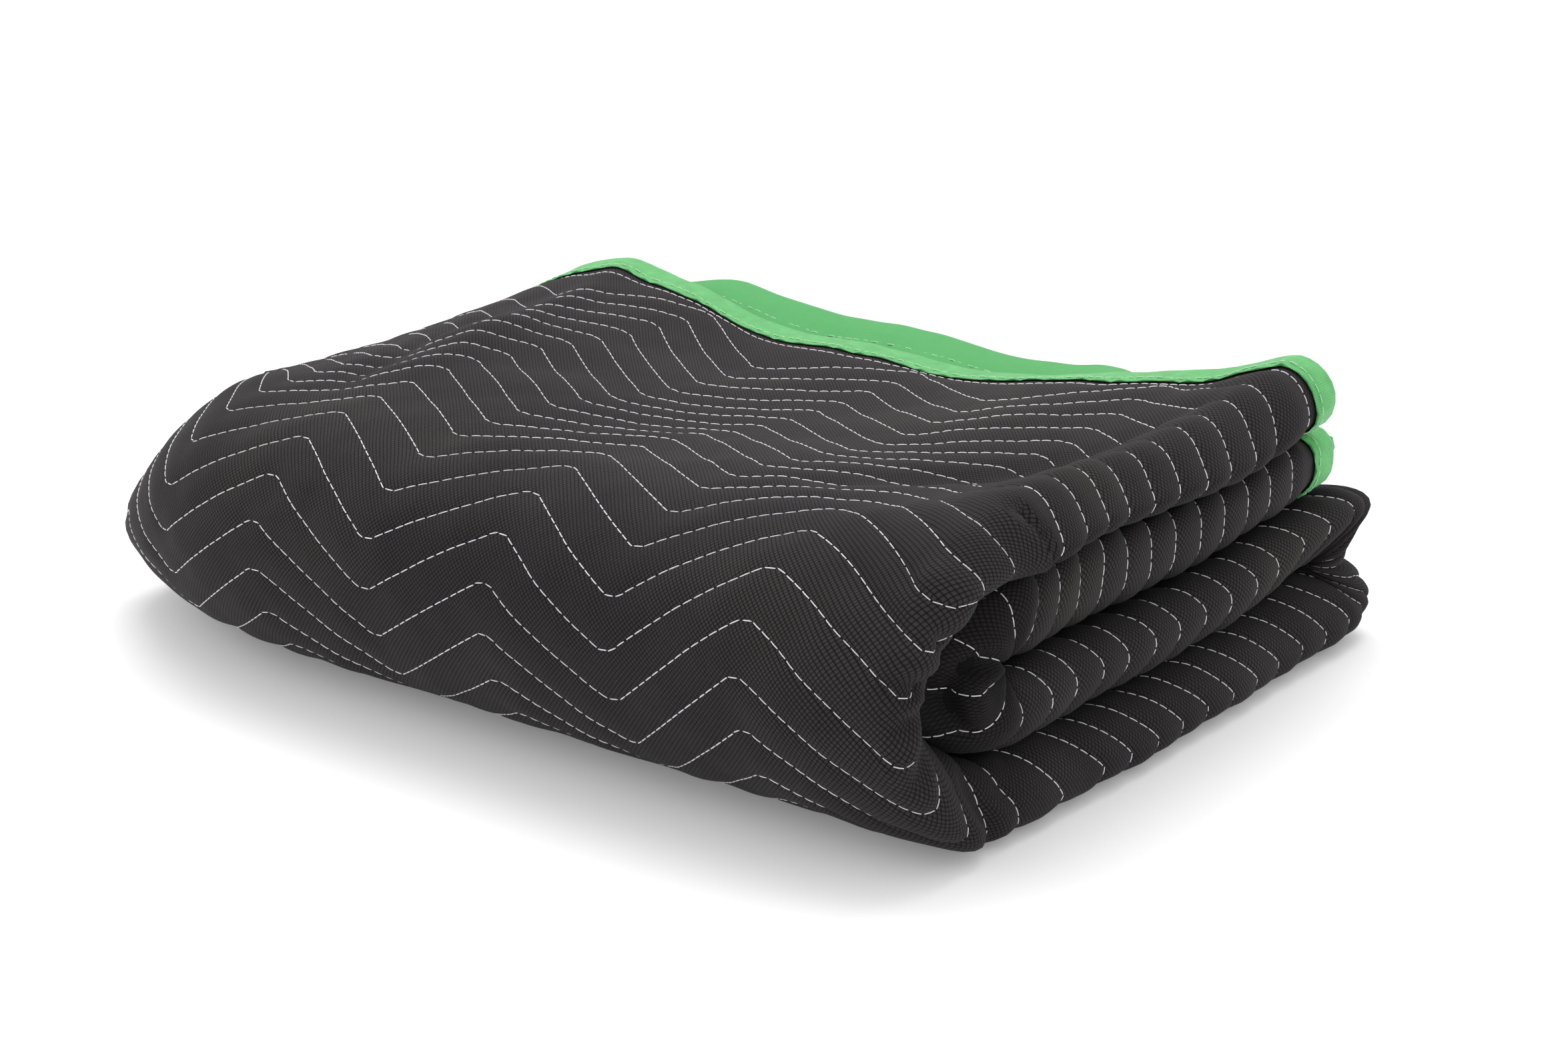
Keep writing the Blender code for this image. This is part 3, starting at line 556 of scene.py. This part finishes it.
# --- Meshes -----------------------------------------------------------------------------------------

# Columns of points run along the cloth. These are their spacings across it.
FINE_PLACE = 0.0040  # where the outer face shows
FOLD_PLACE = 0.0030  # on the right folds and the inner fold
COARSE_PLACE = 0.016  # on the hidden plies
SAME_PLACE = 1e-6  # places nearer each other than this are one
INNER_COLUMNS = 4  # the inner face has one column in so many under the top ply
FINE_STEP = 0.125  # spacing of the points along a column, in rows of stitches
COARSE_STEP = 0.5
SHOWN_ROWS = (0.0, ROW_BREAKS[4] + 2.0)  # where the top ply's outer face can be seen
FOLD_MARGIN = 0.020  # how far past a fold the outer face shows


def divided(marks, spacing):
    """Places that pass through every mark, no further apart than the spacing."""
    places = [np.linspace(low, high, math.ceil((high - low) / spacing) + 1)[:-1]
              for low, high in zip(marks[:-1], marks[1:]) if high - low > SAME_PLACE]
    return np.concatenate(places + [[marks[-1]]])


def columns_across():
    """(place, part of the cloth that the column lies on) in order."""
    right, top, left, third, inner, fourth = SECTION_BREAKS[1:7]
    begin, bent_end, end = right - FOLD_MARGIN, top + FOLD_MARGIN, third + FOLD_MARGIN
    marks = [0.0, TAPE_WIDTH, begin, right, top, left, third, end]
    marks += [inner, fourth, CLOTH_WIDTH - TAPE_WIDTH, CLOTH_WIDTH]
    marks += [turn for turn in ZIGZAG_TURNS if 0 < turn < CLOTH_WIDTH]
    marks = np.unique(np.round(marks, 6))
    bent = marks[(marks >= begin - SAME_PLACE) & (marks < bent_end)]
    flat = marks[(marks > bent_end) & (marks <= end + SAME_PLACE)]
    stretches = [
        (np.append(bent, bent_end), FOLD_PLACE),
        (np.append(bent_end, flat), FINE_PLACE),
        (marks[marks <= begin + SAME_PLACE], COARSE_PLACE),
        (marks[marks >= end - SAME_PLACE], COARSE_PLACE),
        (np.array([inner, fourth]), FOLD_PLACE),
    ]
    places = np.concatenate([divided(*stretch) for stretch in stretches])
    found = []
    for place in np.unique(np.round(places, 6)).tolist():
        if not begin - SAME_PLACE <= place <= end + SAME_PLACE:
            part = "hidden"
        elif place <= bent_end + SAME_PLACE:
            part = "right"
        else:
            part = "left" if place >= left - FOLD_MARGIN else "top"
        found.append((place, part))
    return found


def fine_steps():
    tape = TAPE_WIDTH / ROW
    inside = np.arange(1.0, ROWS - 1.0, FINE_STEP)
    return np.unique(np.round(np.concatenate(
        [np.linspace(0, tape, 5), inside, np.linspace(ROWS - tape, ROWS, 5)]), 4))


def steps_of(part):
    """The steps of one column's outer face: fine where it can be seen."""
    steps = fine_steps()
    if part == "right":
        return steps
    keep = (steps < 1.0) | (steps > ROWS - 1.0) | (steps % COARSE_STEP == 0)
    if part == "left":
        keep = keep | (steps % (2 * FINE_STEP) == 0)
    elif part == "top":
        keep = keep | ((steps >= SHOWN_ROWS[0]) & (steps <= SHOWN_ROWS[1]))
    return steps[keep]


def bridge(faces, first, second, flip=False):
    """Faces between two columns, each a dict of step: vertex, at the steps that both hold."""
    shared = sorted(set(first) & set(second))
    first_steps, second_steps = sorted(first), sorted(second)
    i = j = 0
    for low, high in zip(shared[:-1], shared[1:]):
        i, j = first_steps.index(low, i), second_steps.index(low, j)
        i2, j2 = first_steps.index(high, i), second_steps.index(high, j)
        up = [first[s] for s in first_steps[i:i2 + 1]]
        down = [second[s] for s in second_steps[j:j2 + 1]][::-1]
        face = up + down
        faces.append(face if flip else face[::-1])


def new_object(name, data):
    obj = bpy.data.objects.new(name, data)
    bpy.context.scene.collection.objects.link(obj)
    return obj


def plain_object(name, points, faces, uvs=None):
    """A mesh object with its faces shaded smooth, and a UV map for each named set of coordinates."""
    mesh = bpy.data.meshes.new(name)
    mesh.from_pydata(np.asarray(points).tolist(), [], faces)
    corners = np.empty(len(mesh.loops), np.int32)
    mesh.loops.foreach_get("vertex_index", corners)
    for map_name, coordinates in (uvs or {}).items():
        layer = mesh.uv_layers.new(name=map_name)
        layer.data.foreach_set("uv", np.asarray(coordinates, np.float32)[corners].ravel())
    mesh.shade_smooth()
    return new_object(name, mesh)


def make_quilted_cloth():
    """The cloth as one closed mesh, with its quilting on the outer face."""
    points, cloth_uv, quilt_uv, painted_shade_uv, faces = [], [], [], [], []
    outer, inner = [], []
    count = 0
    for index, (place, part) in enumerate(columns_across()):
        for side, columns in ((1, outer), (-1, inner)):
            if side == -1 and part == "top" and index % INNER_COLUMNS:
                continue
            steps = steps_of(part if side == 1 else "hidden")
            moved = stitched_row(place, steps)
            quilted = side == 1 and part != "hidden"
            out = outer_face(place, moved, steps) if quilted else half_thickness(place, moved)
            points.append(cloth_point(place, moved, side * out))
            across = np.full(len(steps), place)
            cloth_uv.append(np.stack([across, moved * ROW], -1))
            quilt_uv.append(np.stack([across, steps], -1))
            # The painted shade for the crevices at the right goes to the material in a UV map.
            painted_shade_uv.append(np.stack([painted_crevice_shade(place, moved), np.zeros(len(steps))], -1))
            columns.append((place, dict(zip(steps.tolist(), range(count, count + len(steps))))))
            count += len(steps)
    for (_, first), (_, second) in zip(outer[:-1], outer[1:]):
        bridge(faces, first, second)
    for (_, first), (_, second) in zip(inner[:-1], inner[1:]):
        bridge(faces, first, second, flip=True)
    for edge, flip in ((0, True), (-1, False)):
        bridge(faces, outer[edge][1], inner[edge][1], flip)
    steps = fine_steps().tolist()
    for step, flip in ((steps[0], False), (steps[-1], True)):
        top = {place: column[step] for place, column in outer}
        under = {place: column[step] for place, column in inner}
        bridge(faces, top, under, flip)
    uvs = {"cloth": cloth_uv, "quilt": quilt_uv, "painted_crevice_shade": painted_shade_uv}
    uvs = {name: np.concatenate(parts) for name, parts in uvs.items()}
    return plain_object("quilted_pad", np.concatenate(points), faces, uvs)


# --- The bound edge ---------------------------------------------------------------------------------

TAPE_WALL = 0.0008  # thickness of the woven tape
TAPE_GAP = 0.0010  # between the tape and the cloth in it
TAPE_STATION = 0.004  # spacing of the tape's sections along the edge
TAPE_MITRE = TAPE_WIDTH * 1.15  # from a corner to the first section along each edge
TAPE_RIPPLE = 0.0005  # how high the tape's faces ripple
TAPE_WANDER = 0.0009  # how far its inner edges wander
TAPE_STITCH_IN = 0.0132  # from the tape's fold to its line of stitches
UNDER_TOP = (SECTION_BREAKS[3], SECTION_BREAKS[4] + 0.03)  # where the tape turns in under the top ply, and where its painted shade begins and is full


def edge_route():
    """(place, row, inward place, inward row) round the cloth's four edges, mitred at its corners."""
    first, last = TAPE_MITRE, CLOTH_WIDTH - TAPE_MITRE
    marks = [mark for mark in (*ZIGZAG_TURNS, *SECTION_BREAKS) if first < mark < last]
    places = divided(np.unique([first, *marks, last]), TAPE_STATION)
    marks = np.array([TAPE_MITRE / ROW, *ROW_BREAKS[1:-1], ROWS - TAPE_MITRE / ROW])
    rows = divided(marks, TAPE_STATION / ROW)
    route = [(0.0, 0.0, 1, 1)] + [(p, 0.0, 0, 1) for p in places]
    route += [(CLOTH_WIDTH, 0.0, -1, 1)] + [(CLOTH_WIDTH, r, -1, 0) for r in rows]
    route += [(CLOTH_WIDTH, ROWS, -1, -1)] + [(p, ROWS, 0, -1) for p in reversed(places)]
    route += [(0.0, ROWS, 1, -1)] + [(0.0, r, 1, 0) for r in reversed(rows)]
    return np.array(route)


def tape_point(station, inward, out):
    place, row, inward_place, inward_row = station
    return cloth_point(place + inward * inward_place, row + inward * inward_row / ROW, out)


def along_route(route):
    """The length along the cloth's edge at each station."""
    steps = np.diff(route[:, :2] * [1.0, ROW], axis=0)
    return np.concatenate([[0.0], np.cumsum(np.hypot(*steps.T))])


def make_tape():
    """The tape: a channel that wraps the cloth's edge, in one loop round the whole cloth."""
    inside = BOUND_CLOTH / 2 + TAPE_GAP
    outside = inside + TAPE_WALL
    width = TAPE_WIDTH
    # How far in from the cloth's edge, and out from its middle: half of the channel's outer wall, then
    # half of its inner one. The other halves mirror them.
    outer = [
        (width, outside - 0.0003), (width - 0.0008, outside), (width * 0.55, outside),
        (0.0016, outside), (-0.0004, outside * 0.8), (-0.0013, outside * 0.3),
    ]
    inner = [(width, -inside), (width * 0.5, -inside), (-TAPE_GAP, -inside * 0.7)]
    channel = []
    for half in (outer, inner):
        channel += half + [(inward, -out) for inward, out in reversed(half)]
    route = edge_route()
    lengths = along_route(route)
    # Each is a sum of two waves, given in radians for each metre.
    wander = TAPE_WANDER * (np.sin(lengths * 71) + 0.6 * np.sin(lengths * 173 + 1))
    ripple = TAPE_RIPPLE * (np.sin(lengths * 540) + 0.7 * np.sin(lengths * 911 + 2))
    points, uv, under_top_shade_uv, faces = [], [], [], []
    count = len(channel)
    around = np.concatenate([[0.0], np.cumsum(np.hypot(*np.diff(np.array(channel), axis=0).T))])
    for index, (station, length) in enumerate(zip(route, lengths)):
        for corner, (inward, out) in enumerate(channel):
            share = max(inward, 0.0) / width
            inward = inward + wander[index] * share
            if corner < 2 * len(outer):
                out = out + math.copysign(1, out) * ripple[index] * share
            points.append(tape_point(station, inward, out))
            uv.append((length, around[corner]))
            # Where the tape lies under the top ply's edge it gets painted shade, which goes to the
            # material in a UV map.
            under_top_shade_uv.append((float(smooth(*UNDER_TOP, station[0])), 0.0))
    for index in range(len(route)):
        after = (index + 1) % len(route)
        for corner in range(count):
            beside = (corner + 1) % count
            faces.append([index * count + corner, index * count + beside,
                          after * count + beside, after * count + corner])
    return plain_object("edge_binding", points, faces, {"tape": uv, "under": under_top_shade_uv})


# --- Stitches ---------------------------------------------------------------------------------------

STITCH_PITCH = 0.0050
STITCH_LENGTH = 0.0040
SHORT_STITCH, LONG_STITCH = 0.9, 1.06  # as shares of that length
STITCH_UNEVENNESS = 0.0002  # how far each one lies from its even place
THREAD_RADIUS = 0.00027
THREAD_BOW = 0.00022  # how far a stitch's thread arches between its ends
THREAD_SIDES = 4
SAMPLE = 0.0005  # spacing of the points along a line of stitches
SHORTEST_SEAM = 20  # in such points
SEAM_CLEARANCE = 0.001  # between the tape and the nearest quilting stitch
TAPE_STITCH_OUT = 0.0001  # how far its stitches lie off the tape
UP = 0.001  # from a point on the surface to the one over it that shows which way is up


def stitches_along(points, ups, random):
    """Middle, direction, up and length of each stitch along a line of points."""
    run = breaks_of(np.linalg.norm(np.diff(points, axis=0), axis=1))
    starts = np.arange(random.uniform(0, STITCH_PITCH), run[-1] - STITCH_PITCH, STITCH_PITCH)
    starts = starts + random.uniform(-STITCH_UNEVENNESS, STITCH_UNEVENNESS, len(starts))
    lengths = STITCH_LENGTH * random.uniform(SHORT_STITCH, LONG_STITCH, len(starts))

    def at(distance, vectors):
        return np.stack([np.interp(distance, run, vectors[:, k]) for k in range(3)], -1)

    along = at(starts + lengths, points) - at(starts, points)
    middle, up = at(starts + lengths / 2, points), at(starts + lengths / 2, ups)
    return middle, along, up, np.linalg.norm(along, axis=1)


def seam_lines():
    """(points, ups) along each stretch of quilting stitches that can be seen."""
    right, top, left, third = SECTION_BREAKS[1:5]
    low, high = right - FOLD_MARGIN, third + FOLD_MARGIN
    for row in range(1, int(ROWS)):
        if SHOWN_ROWS[0] <= row <= SHOWN_ROWS[1]:
            stretches = [(low, high)]
        else:
            stretches = [(low, top + FOLD_MARGIN), (left - FOLD_MARGIN, high)]
        for start, end in stretches:
            place = np.arange(start, end, SAMPLE)
            moved = stitched_row(place, np.full(len(place), float(row)))
            from_end = np.minimum(moved, ROWS - moved) * ROW
            clear = from_end > TAPE_WIDTH + SEAM_CLEARANCE
            place, moved = place[clear], moved[clear]
            if len(place) < SHORTEST_SEAM:
                continue
            out = outer_face(place, moved, float(row))
            points = cloth_point(place, moved, out)
            yield points, cloth_point(place, moved, out + UP) - points


def tape_lines():
    """(points, ups) along the tape's stitches, on both of its faces."""
    route = edge_route()
    lengths = along_route(route)
    out = BOUND_CLOTH / 2 + TAPE_GAP + TAPE_WALL + TAPE_STITCH_OUT
    dense = np.arange(0, lengths[-1], SAMPLE * 2)
    place, row = (np.interp(dense, lengths, route[:, k]) for k in (0, 1))
    place = np.clip(place, TAPE_STITCH_IN, CLOTH_WIDTH - TAPE_STITCH_IN)
    row = np.clip(row, TAPE_STITCH_IN / ROW, ROWS - TAPE_STITCH_IN / ROW)
    for side in (1, -1):
        points = cloth_point(place, row, side * out)
        yield points, cloth_point(place, row, side * (out + UP)) - points


def make_stitches(name, lines, material, seed):
    """Threads along each line, made by Geometry Nodes on a point for each stitch."""
    random = np.random.default_rng(seed)
    found = [stitches_along(points, ups, random) for points, ups in lines]
    middles, alongs, ups, lengths = (np.concatenate(part) for part in zip(*found))
    mesh = bpy.data.meshes.new(name)
    mesh.from_pydata(middles.tolist(), [], [])
    for attribute, values in (("along", alongs), ("up", ups)):
        made = mesh.attributes.new(attribute, "FLOAT_VECTOR", "POINT")
        made.data.foreach_set("vector", values.ravel())
    mesh.attributes.new("span", "FLOAT", "POINT").data.foreach_set("value", lengths)
    obj = new_object(name, mesh)
    modifier = obj.modifiers.new("threads", "NODES")
    modifier.node_group = thread_tree(material)
    sizes = {"Thread radius": THREAD_RADIUS, "Bow": THREAD_BOW}
    for item in modifier.node_group.interface.items_tree:
        if item.name in sizes:
            modifier[item.identifier] = sizes[item.name]
    return as_plain_mesh(obj)


def as_plain_mesh(obj):
    """Replaces the object's mesh by what its modifiers make of it."""
    made = bpy.data.meshes.new_from_object(obj.evaluated_get(bpy.context.evaluated_depsgraph_get()))
    obj.modifiers.clear()
    obj.data = made
    made.shade_smooth()
    return obj


def thread_tree(material):
    """A tree that puts one bowed thread on each point, lying along it."""
    tree = bpy.data.node_groups.new("threads on points", "GeometryNodeTree")
    for name, way, kind in (("Stitches", "INPUT", "Geometry"), ("Thread radius", "INPUT", "Float"),
                            ("Bow", "INPUT", "Float"), ("Threads", "OUTPUT", "Geometry")):
        tree.interface.new_socket(name, in_out=way, socket_type="NodeSocket" + kind)
    graph = Graph(tree)
    given = graph.node("NodeGroupInput")
    ends = {"Start": (-0.5, 0, 0), "End": (0.5, 0, 0)}
    line = graph.node("GeometryNodeCurvePrimitiveLine", inputs=ends).outputs[0]
    line = graph.node("GeometryNodeResampleCurve", inputs={"Curve": line, "Count": 4}).outputs[0]
    along = Value(graph, graph.node("GeometryNodeSplineParameter").outputs["Factor"])
    arch = along * (1 - along) * 4 - 0.3  # its ends dip into the cloth
    lift = graph.node("ShaderNodeCombineXYZ", inputs={"Z": arch * Value(graph, given.outputs["Bow"])})
    line = graph.node("GeometryNodeSetPosition", inputs={"Geometry": line, "Offset": lift.outputs[0]})
    ring = graph.node("GeometryNodeCurvePrimitiveCircle",
                      inputs={"Resolution": THREAD_SIDES, "Radius": given.outputs["Thread radius"]})
    thread = graph.node("GeometryNodeCurveToMesh", inputs={
        "Curve": line.outputs[0], "Profile Curve": ring.outputs[0], "Fill Caps": True})
    turned = graph.node("FunctionNodeAlignRotationToVector", {"axis": "X"},
                        {"Vector": graph.named("along", "FLOAT_VECTOR")})
    turned = graph.node("FunctionNodeAlignRotationToVector", {"axis": "Z", "pivot_axis": "X"},
                        {"Rotation": turned.outputs[0], "Vector": graph.named("up", "FLOAT_VECTOR")})
    stretch = graph.node("ShaderNodeCombineXYZ",
                         inputs={"X": graph.named("span", "FLOAT"), "Y": 1.0, "Z": 1.0})
    copies = graph.node("GeometryNodeInstanceOnPoints", inputs={
        "Points": given.outputs["Stitches"], "Instance": thread.outputs[0],
        "Rotation": turned.outputs[0], "Scale": stretch.outputs[0]})
    real = graph.node("GeometryNodeRealizeInstances", inputs={"Geometry": copies.outputs[0]})
    real = graph.node("GeometryNodeSetMaterial",
                      inputs={"Geometry": real.outputs[0], "Material": material})
    graph.node("NodeGroupOutput", inputs={"Threads": real.outputs[0]})
    return tree


# --- Nodes and materials ----------------------------------------------------------------------------


class Graph:
    """A node tree that takes each node's settings and inputs in one call."""

    def __init__(self, tree):
        self.tree = tree

    def node(self, kind, settings=None, inputs=None):
        made = self.tree.nodes.new(kind)
        for name, value in (settings or {}).items():
            setattr(made, name, value)
        self.fill(made, inputs or {})
        return made

    def fill(self, node, inputs):
        """Gives the node's named or numbered inputs their values, or links them to other nodes."""
        for name, value in inputs.items():
            if isinstance(value, Value):
                value = value.socket
            if isinstance(value, bpy.types.NodeSocket):
                self.tree.links.new(value, node.inputs[name])
            else:
                node.inputs[name].default_value = value

    def named(self, name, data_type):
        made = self.node("GeometryNodeInputNamedAttribute", {"data_type": data_type}, {"Name": name})
        return made.outputs["Attribute"]


class Value:
    """A number in a node tree: an expression on it adds the Math nodes."""

    def __init__(self, graph, socket):
        self.graph = graph
        self.socket = socket

    def math(self, operation, *others, swap=False):
        values = [*others, self] if swap else [self, *others]
        made = self.graph.node("ShaderNodeMath", {"operation": operation}, dict(enumerate(values)))
        return Value(self.graph, made.outputs[0])

    def __add__(self, other):
        return self.math("ADD", other)

    __radd__ = __add__

    def __mul__(self, other):
        return self.math("MULTIPLY", other)

    def __sub__(self, other):
        return self.math("SUBTRACT", other)

    def __rsub__(self, other):
        return self.math("SUBTRACT", other, swap=True)

    def sine(self):
        return self.math("SINE")

    def size(self):
        return self.math("ABSOLUTE")

    def clamped(self, low, high):
        """0 at low and below, 1 at high and above, straight between them."""
        inputs = {"Value": self, "From Min": low, "From Max": high}
        return Value(self.graph, self.graph.node("ShaderNodeMapRange", inputs=inputs).outputs[0])


def new_material(name, color, roughness):
    """(material, graph, shader) with its flat values set."""
    material = bpy.data.materials.new(name)
    material.use_nodes = True
    shader = material.node_tree.nodes["Principled BSDF"]
    shader.inputs["Base Color"].default_value = (*color, 1.0)
    shader.inputs["Roughness"].default_value = roughness
    material.diffuse_color = (*color, 1.0)
    return material, Graph(material.node_tree), shader


def uv_values(graph, name):
    """A UV map's output, and its two coordinates as values."""
    uv = graph.node("ShaderNodeUVMap", {"uv_map": name}).outputs[0]
    parts = graph.node("ShaderNodeSeparateXYZ", inputs={0: uv})
    return uv, Value(graph, parts.outputs[0]), Value(graph, parts.outputs[1])


def noise(graph, vector, scale, detail, roughness):
    made = graph.node("ShaderNodeTexNoise", inputs={
        "Vector": vector, "Scale": scale, "Detail": detail, "Roughness": roughness})
    return Value(graph, made.outputs["Fac"])


def mix_colors(graph, factor, first, second):
    first, second = ((*color, 1.0) if isinstance(color, tuple) else color for color in (first, second))
    made = graph.node("ShaderNodeMix", {"data_type": "RGBA"}, {0: factor, 6: first, 7: second})
    return made.outputs[2]


def bump(graph, height, strength, distance, under=None):
    inputs = {"Height": height, "Strength": strength, "Distance": distance}
    if under is not None:
        inputs["Normal"] = under
    return graph.node("ShaderNodeBump", inputs=inputs).outputs[0]


EMBOSS_PITCH = 0.00142  # from one row of diamonds to the next
CLOTH_DARK = (0.0012, 0.0010, 0.0014)
CLOTH_LIGHT = (0.0300, 0.0252, 0.0282)
DUST = (0.078, 0.071, 0.060)
# How much the painted shade darkens the cloth in the crevices at the right.
CREVICE_SHADE = 0.9
# Scale, detail and roughness of the noises in the cloth and its dust.
FIBRES = (1400.0, 3.0, 0.6)
BLOTCHES = (9.0, 4.0, 0.62)
CLOUDS = (2.6, 2.0, 0.5)
CELLS = (620.0, 0.0, 0.5)
PUCKERS = (210.0, 1.0, 0.5)
UNEVENNESS = (55.0, 2.0, 0.5)
# How deep the bumps of the quilting and of the embossed grid are.
QUILT_BUMP = 0.0012
GRID_BUMP = 0.00022


def cloth_material():
    """Charcoal non-woven cloth, embossed with a fine diamond grid, with shade painted into the crevices at
    the right.
    """
    material, graph, shader = new_material("charcoal_embossed_cloth", CLOTH_LIGHT, 0.82)
    uv, u, v = uv_values(graph, "cloth")
    _, _, step = uv_values(graph, "quilt")
    _, turned_in_shade, _ = uv_values(graph, "painted_crevice_shade")
    turn = math.pi / EMBOSS_PITCH / math.sqrt(2)
    one = ((u + v) * turn).sine().size()
    other = ((u - v) * turn).sine().size()
    grid = one.clamped(0.0, 0.75) * other.clamped(0.0, 0.75)
    fibres = noise(graph, uv, *FIBRES)
    blotches = noise(graph, uv, *BLOTCHES)
    clouds = noise(graph, uv, *CLOUDS)
    cells = noise(graph, uv, *CELLS)
    from_seam = (step * math.pi).sine().size()
    lit = grid * (cells * 0.5 + 0.72) + (fibres - 0.5) * 0.35
    color = mix_colors(graph, lit, CLOTH_DARK, CLOTH_LIGHT)
    dusty = (blotches.clamped(0.48, 0.80) * 0.45 + clouds.clamped(0.45, 0.75) * 0.25) * grid
    color = mix_colors(graph, dusty, color, DUST)
    # Painted shade: the cloth is darker where it turns in between the right folds and in the hollow at the
    # near corner.
    color = mix_colors(graph, turned_in_shade * CREVICE_SHADE, color, CLOTH_DARK)
    groove = from_seam.clamped(0.0, 0.22)
    puckers = noise(graph, uv, *PUCKERS) * (1 - from_seam.clamped(0.05, 0.6))
    uneven = noise(graph, uv, *UNEVENNESS)
    normal = bump(graph, groove * 0.5 + puckers * 0.55 + uneven * 0.5, 0.55, QUILT_BUMP)
    normal = bump(graph, grid * 0.75 + fibres * 0.25, 0.6, GRID_BUMP, normal)
    graph.fill(shader, {
        "Base Color": color, "Roughness": 0.74 + fibres * 0.18, "Normal": normal,
        "Sheen Weight": 0.02, "Sheen Roughness": 0.5, "Specular IOR Level": 0.16})
    return material


TAPE_GREEN = (0.030, 0.240, 0.048)
TAPE_PALE = (0.115, 0.500, 0.145)
# The tape's colour in painted shade under the top ply's edge.
TAPE_SHADED_GREEN = (0.045, 0.330, 0.075)
UNDER_SHADE = 0.8  # how much painted shade darkens the tape under the top ply's edge
RIB_PITCH = 0.0008
WEFT_PITCH = 0.0006
WORN = (140.0, 3.0, 0.6)
TAPE_FIBRES = (1500.0, 2.0, 0.6)
WORN_BUMP = 0.0010
WEAVE_BUMP = 0.00018


def tape_material():
    """Green woven tape with fine ribs across it, and shade painted on it under the top ply's edge."""
    material, graph, shader = new_material("green_woven_tape", TAPE_GREEN, 0.62)
    uv, u, v = uv_values(graph, "tape")
    ribs = (u * (math.pi / RIB_PITCH)).sine().size()
    threads = (v * (math.pi / WEFT_PITCH)).sine().size()
    weave = ribs * 0.6 + threads * 0.4
    worn = noise(graph, uv, *WORN)
    fibres = noise(graph, uv, *TAPE_FIBRES)
    lit = (weave * 0.45 + worn * 0.9 + (fibres - 0.5) * 0.3).clamped(0.25, 1.05)
    color = mix_colors(graph, lit, TAPE_GREEN, TAPE_PALE)
    # Painted shade: the tape is darker where it lies under the top ply's edge.
    _, under, _ = uv_values(graph, "under")
    color = mix_colors(graph, under * UNDER_SHADE, color, TAPE_SHADED_GREEN)
    normal = bump(graph, worn, 0.55, WORN_BUMP)
    normal = bump(graph, weave, 0.5, WEAVE_BUMP, normal)
    graph.fill(shader, {"Base Color": color, "Roughness": 0.5 + worn * 0.25, "Normal": normal,
                        "Sheen Weight": 0.1})
    return material


WHITE_THREAD = (0.86, 0.84, 0.88)
PALE_GREEN_THREAD = (0.50, 0.82, 0.52)
TWIST = (2600.0, 1.0, 0.5)
TWIST_BUMP = 0.0001


def thread_material(name, color):
    """Spun thread: pale, with a faint twist."""
    material, graph, shader = new_material(name, color, 0.5)
    where = graph.node("ShaderNodeTexCoord").outputs["Object"]
    twist = noise(graph, where, *TWIST)
    shade = mix_colors(graph, twist, tuple(0.72 * part for part in color), color)
    graph.fill(shader, {"Base Color": shade, "Normal": bump(graph, twist, 0.3, TWIST_BUMP)})
    return material


# --- The set ----------------------------------------------------------------------------------------

# The camera was placed from the photograph's perspective.
CAMERA_PLACE = (0.8569 - MIDDLE_X, -1.0758 - MIDDLE_Y, 0.5292)
CAMERA_YAW = 0.6491  # turned from +Y towards -X
CAMERA_PITCH = 0.3367  # below the horizon
CAMERA_LENS = 76.08
CAMERA_SENSOR = 36.0
FLOOR_REACH = 30
FLOOR_DROP = 0.0004  # so that the cloth's underside and the floor aren't in one plane


def make_camera():
    camera = new_object("camera", bpy.data.cameras.new("camera"))
    camera.data.lens = CAMERA_LENS
    camera.data.sensor_width = CAMERA_SENSOR
    camera.data.sensor_fit = "HORIZONTAL"
    camera.location = CAMERA_PLACE
    camera.rotation_euler = (math.pi / 2 - CAMERA_PITCH, 0.0, CAMERA_YAW)
    bpy.context.scene.camera = camera


def make_light(name, place, size, power, color=(1.0, 1.0, 1.0), aim=(0.0, 0.0, 0.06)):
    light = new_object(name, bpy.data.lights.new(name, "AREA"))
    light.data.shape = "RECTANGLE"
    light.data.size, light.data.size_y = size
    light.data.energy = power
    light.data.color = color
    light.location = place
    away = np.array(place) - np.array(aim)
    flat = math.hypot(away[0], away[1])
    light.rotation_euler = (math.atan2(flat, away[2]), 0.0, math.atan2(away[1], away[0]) + math.pi / 2)


def make_set():
    """A pale floor, a pale surround and soft lights."""
    world = bpy.data.worlds.new("pale surround")
    world.use_nodes = True
    background = world.node_tree.nodes["Background"]
    Graph(world.node_tree).fill(background, {"Color": (1.0, 1.0, 1.0, 1.0), "Strength": 0.9})
    bpy.context.scene.world = world
    corners = [(x * FLOOR_REACH, y * FLOOR_REACH, 0) for x, y in ((-1, -1), (1, -1), (1, 1), (-1, 1))]
    floor = plain_object("floor", corners, [[0, 1, 2, 3]])
    material, graph, shader = new_material("pale_floor", (0.93, 0.93, 0.93), 0.9)
    graph.fill(shader, {"Specular IOR Level": 0.1, "Emission Color": (1.0, 1.0, 1.0, 1.0),
                        "Emission Strength": 0.15})
    floor.data.materials.append(material)
    floor.location.z = -FLOOR_DROP
    make_light("overhead softbox", (-0.3, 0.5, 1.9), (1.8, 1.4), 23.0)
    make_light("right softbox", (1.9, -0.4, 1.0), (1.2, 1.2), 1.0)
    make_light("left softbox", (-1.6, -1.3, 1.2), (1.4, 1.2), 6.0)
    bpy.context.scene.view_settings.view_transform = "Standard"


def main():
    make_camera()
    pad = make_quilted_cloth()
    pad.data.materials.append(cloth_material())
    tape = make_tape()
    tape.data.materials.append(tape_material())
    white = thread_material("white_thread", WHITE_THREAD)
    pale = thread_material("pale_green_thread", PALE_GREEN_THREAD)
    quilting_threads = make_stitches("quilting_threads", seam_lines(), white, seed=11)
    tape_threads = make_stitches("binding_threads", tape_lines(), pale, seed=12)
    for piece in (pad, tape, quilting_threads, tape_threads):
        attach(piece, "root")
    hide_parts("pad")
    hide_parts("binding")
    make_set()


main()
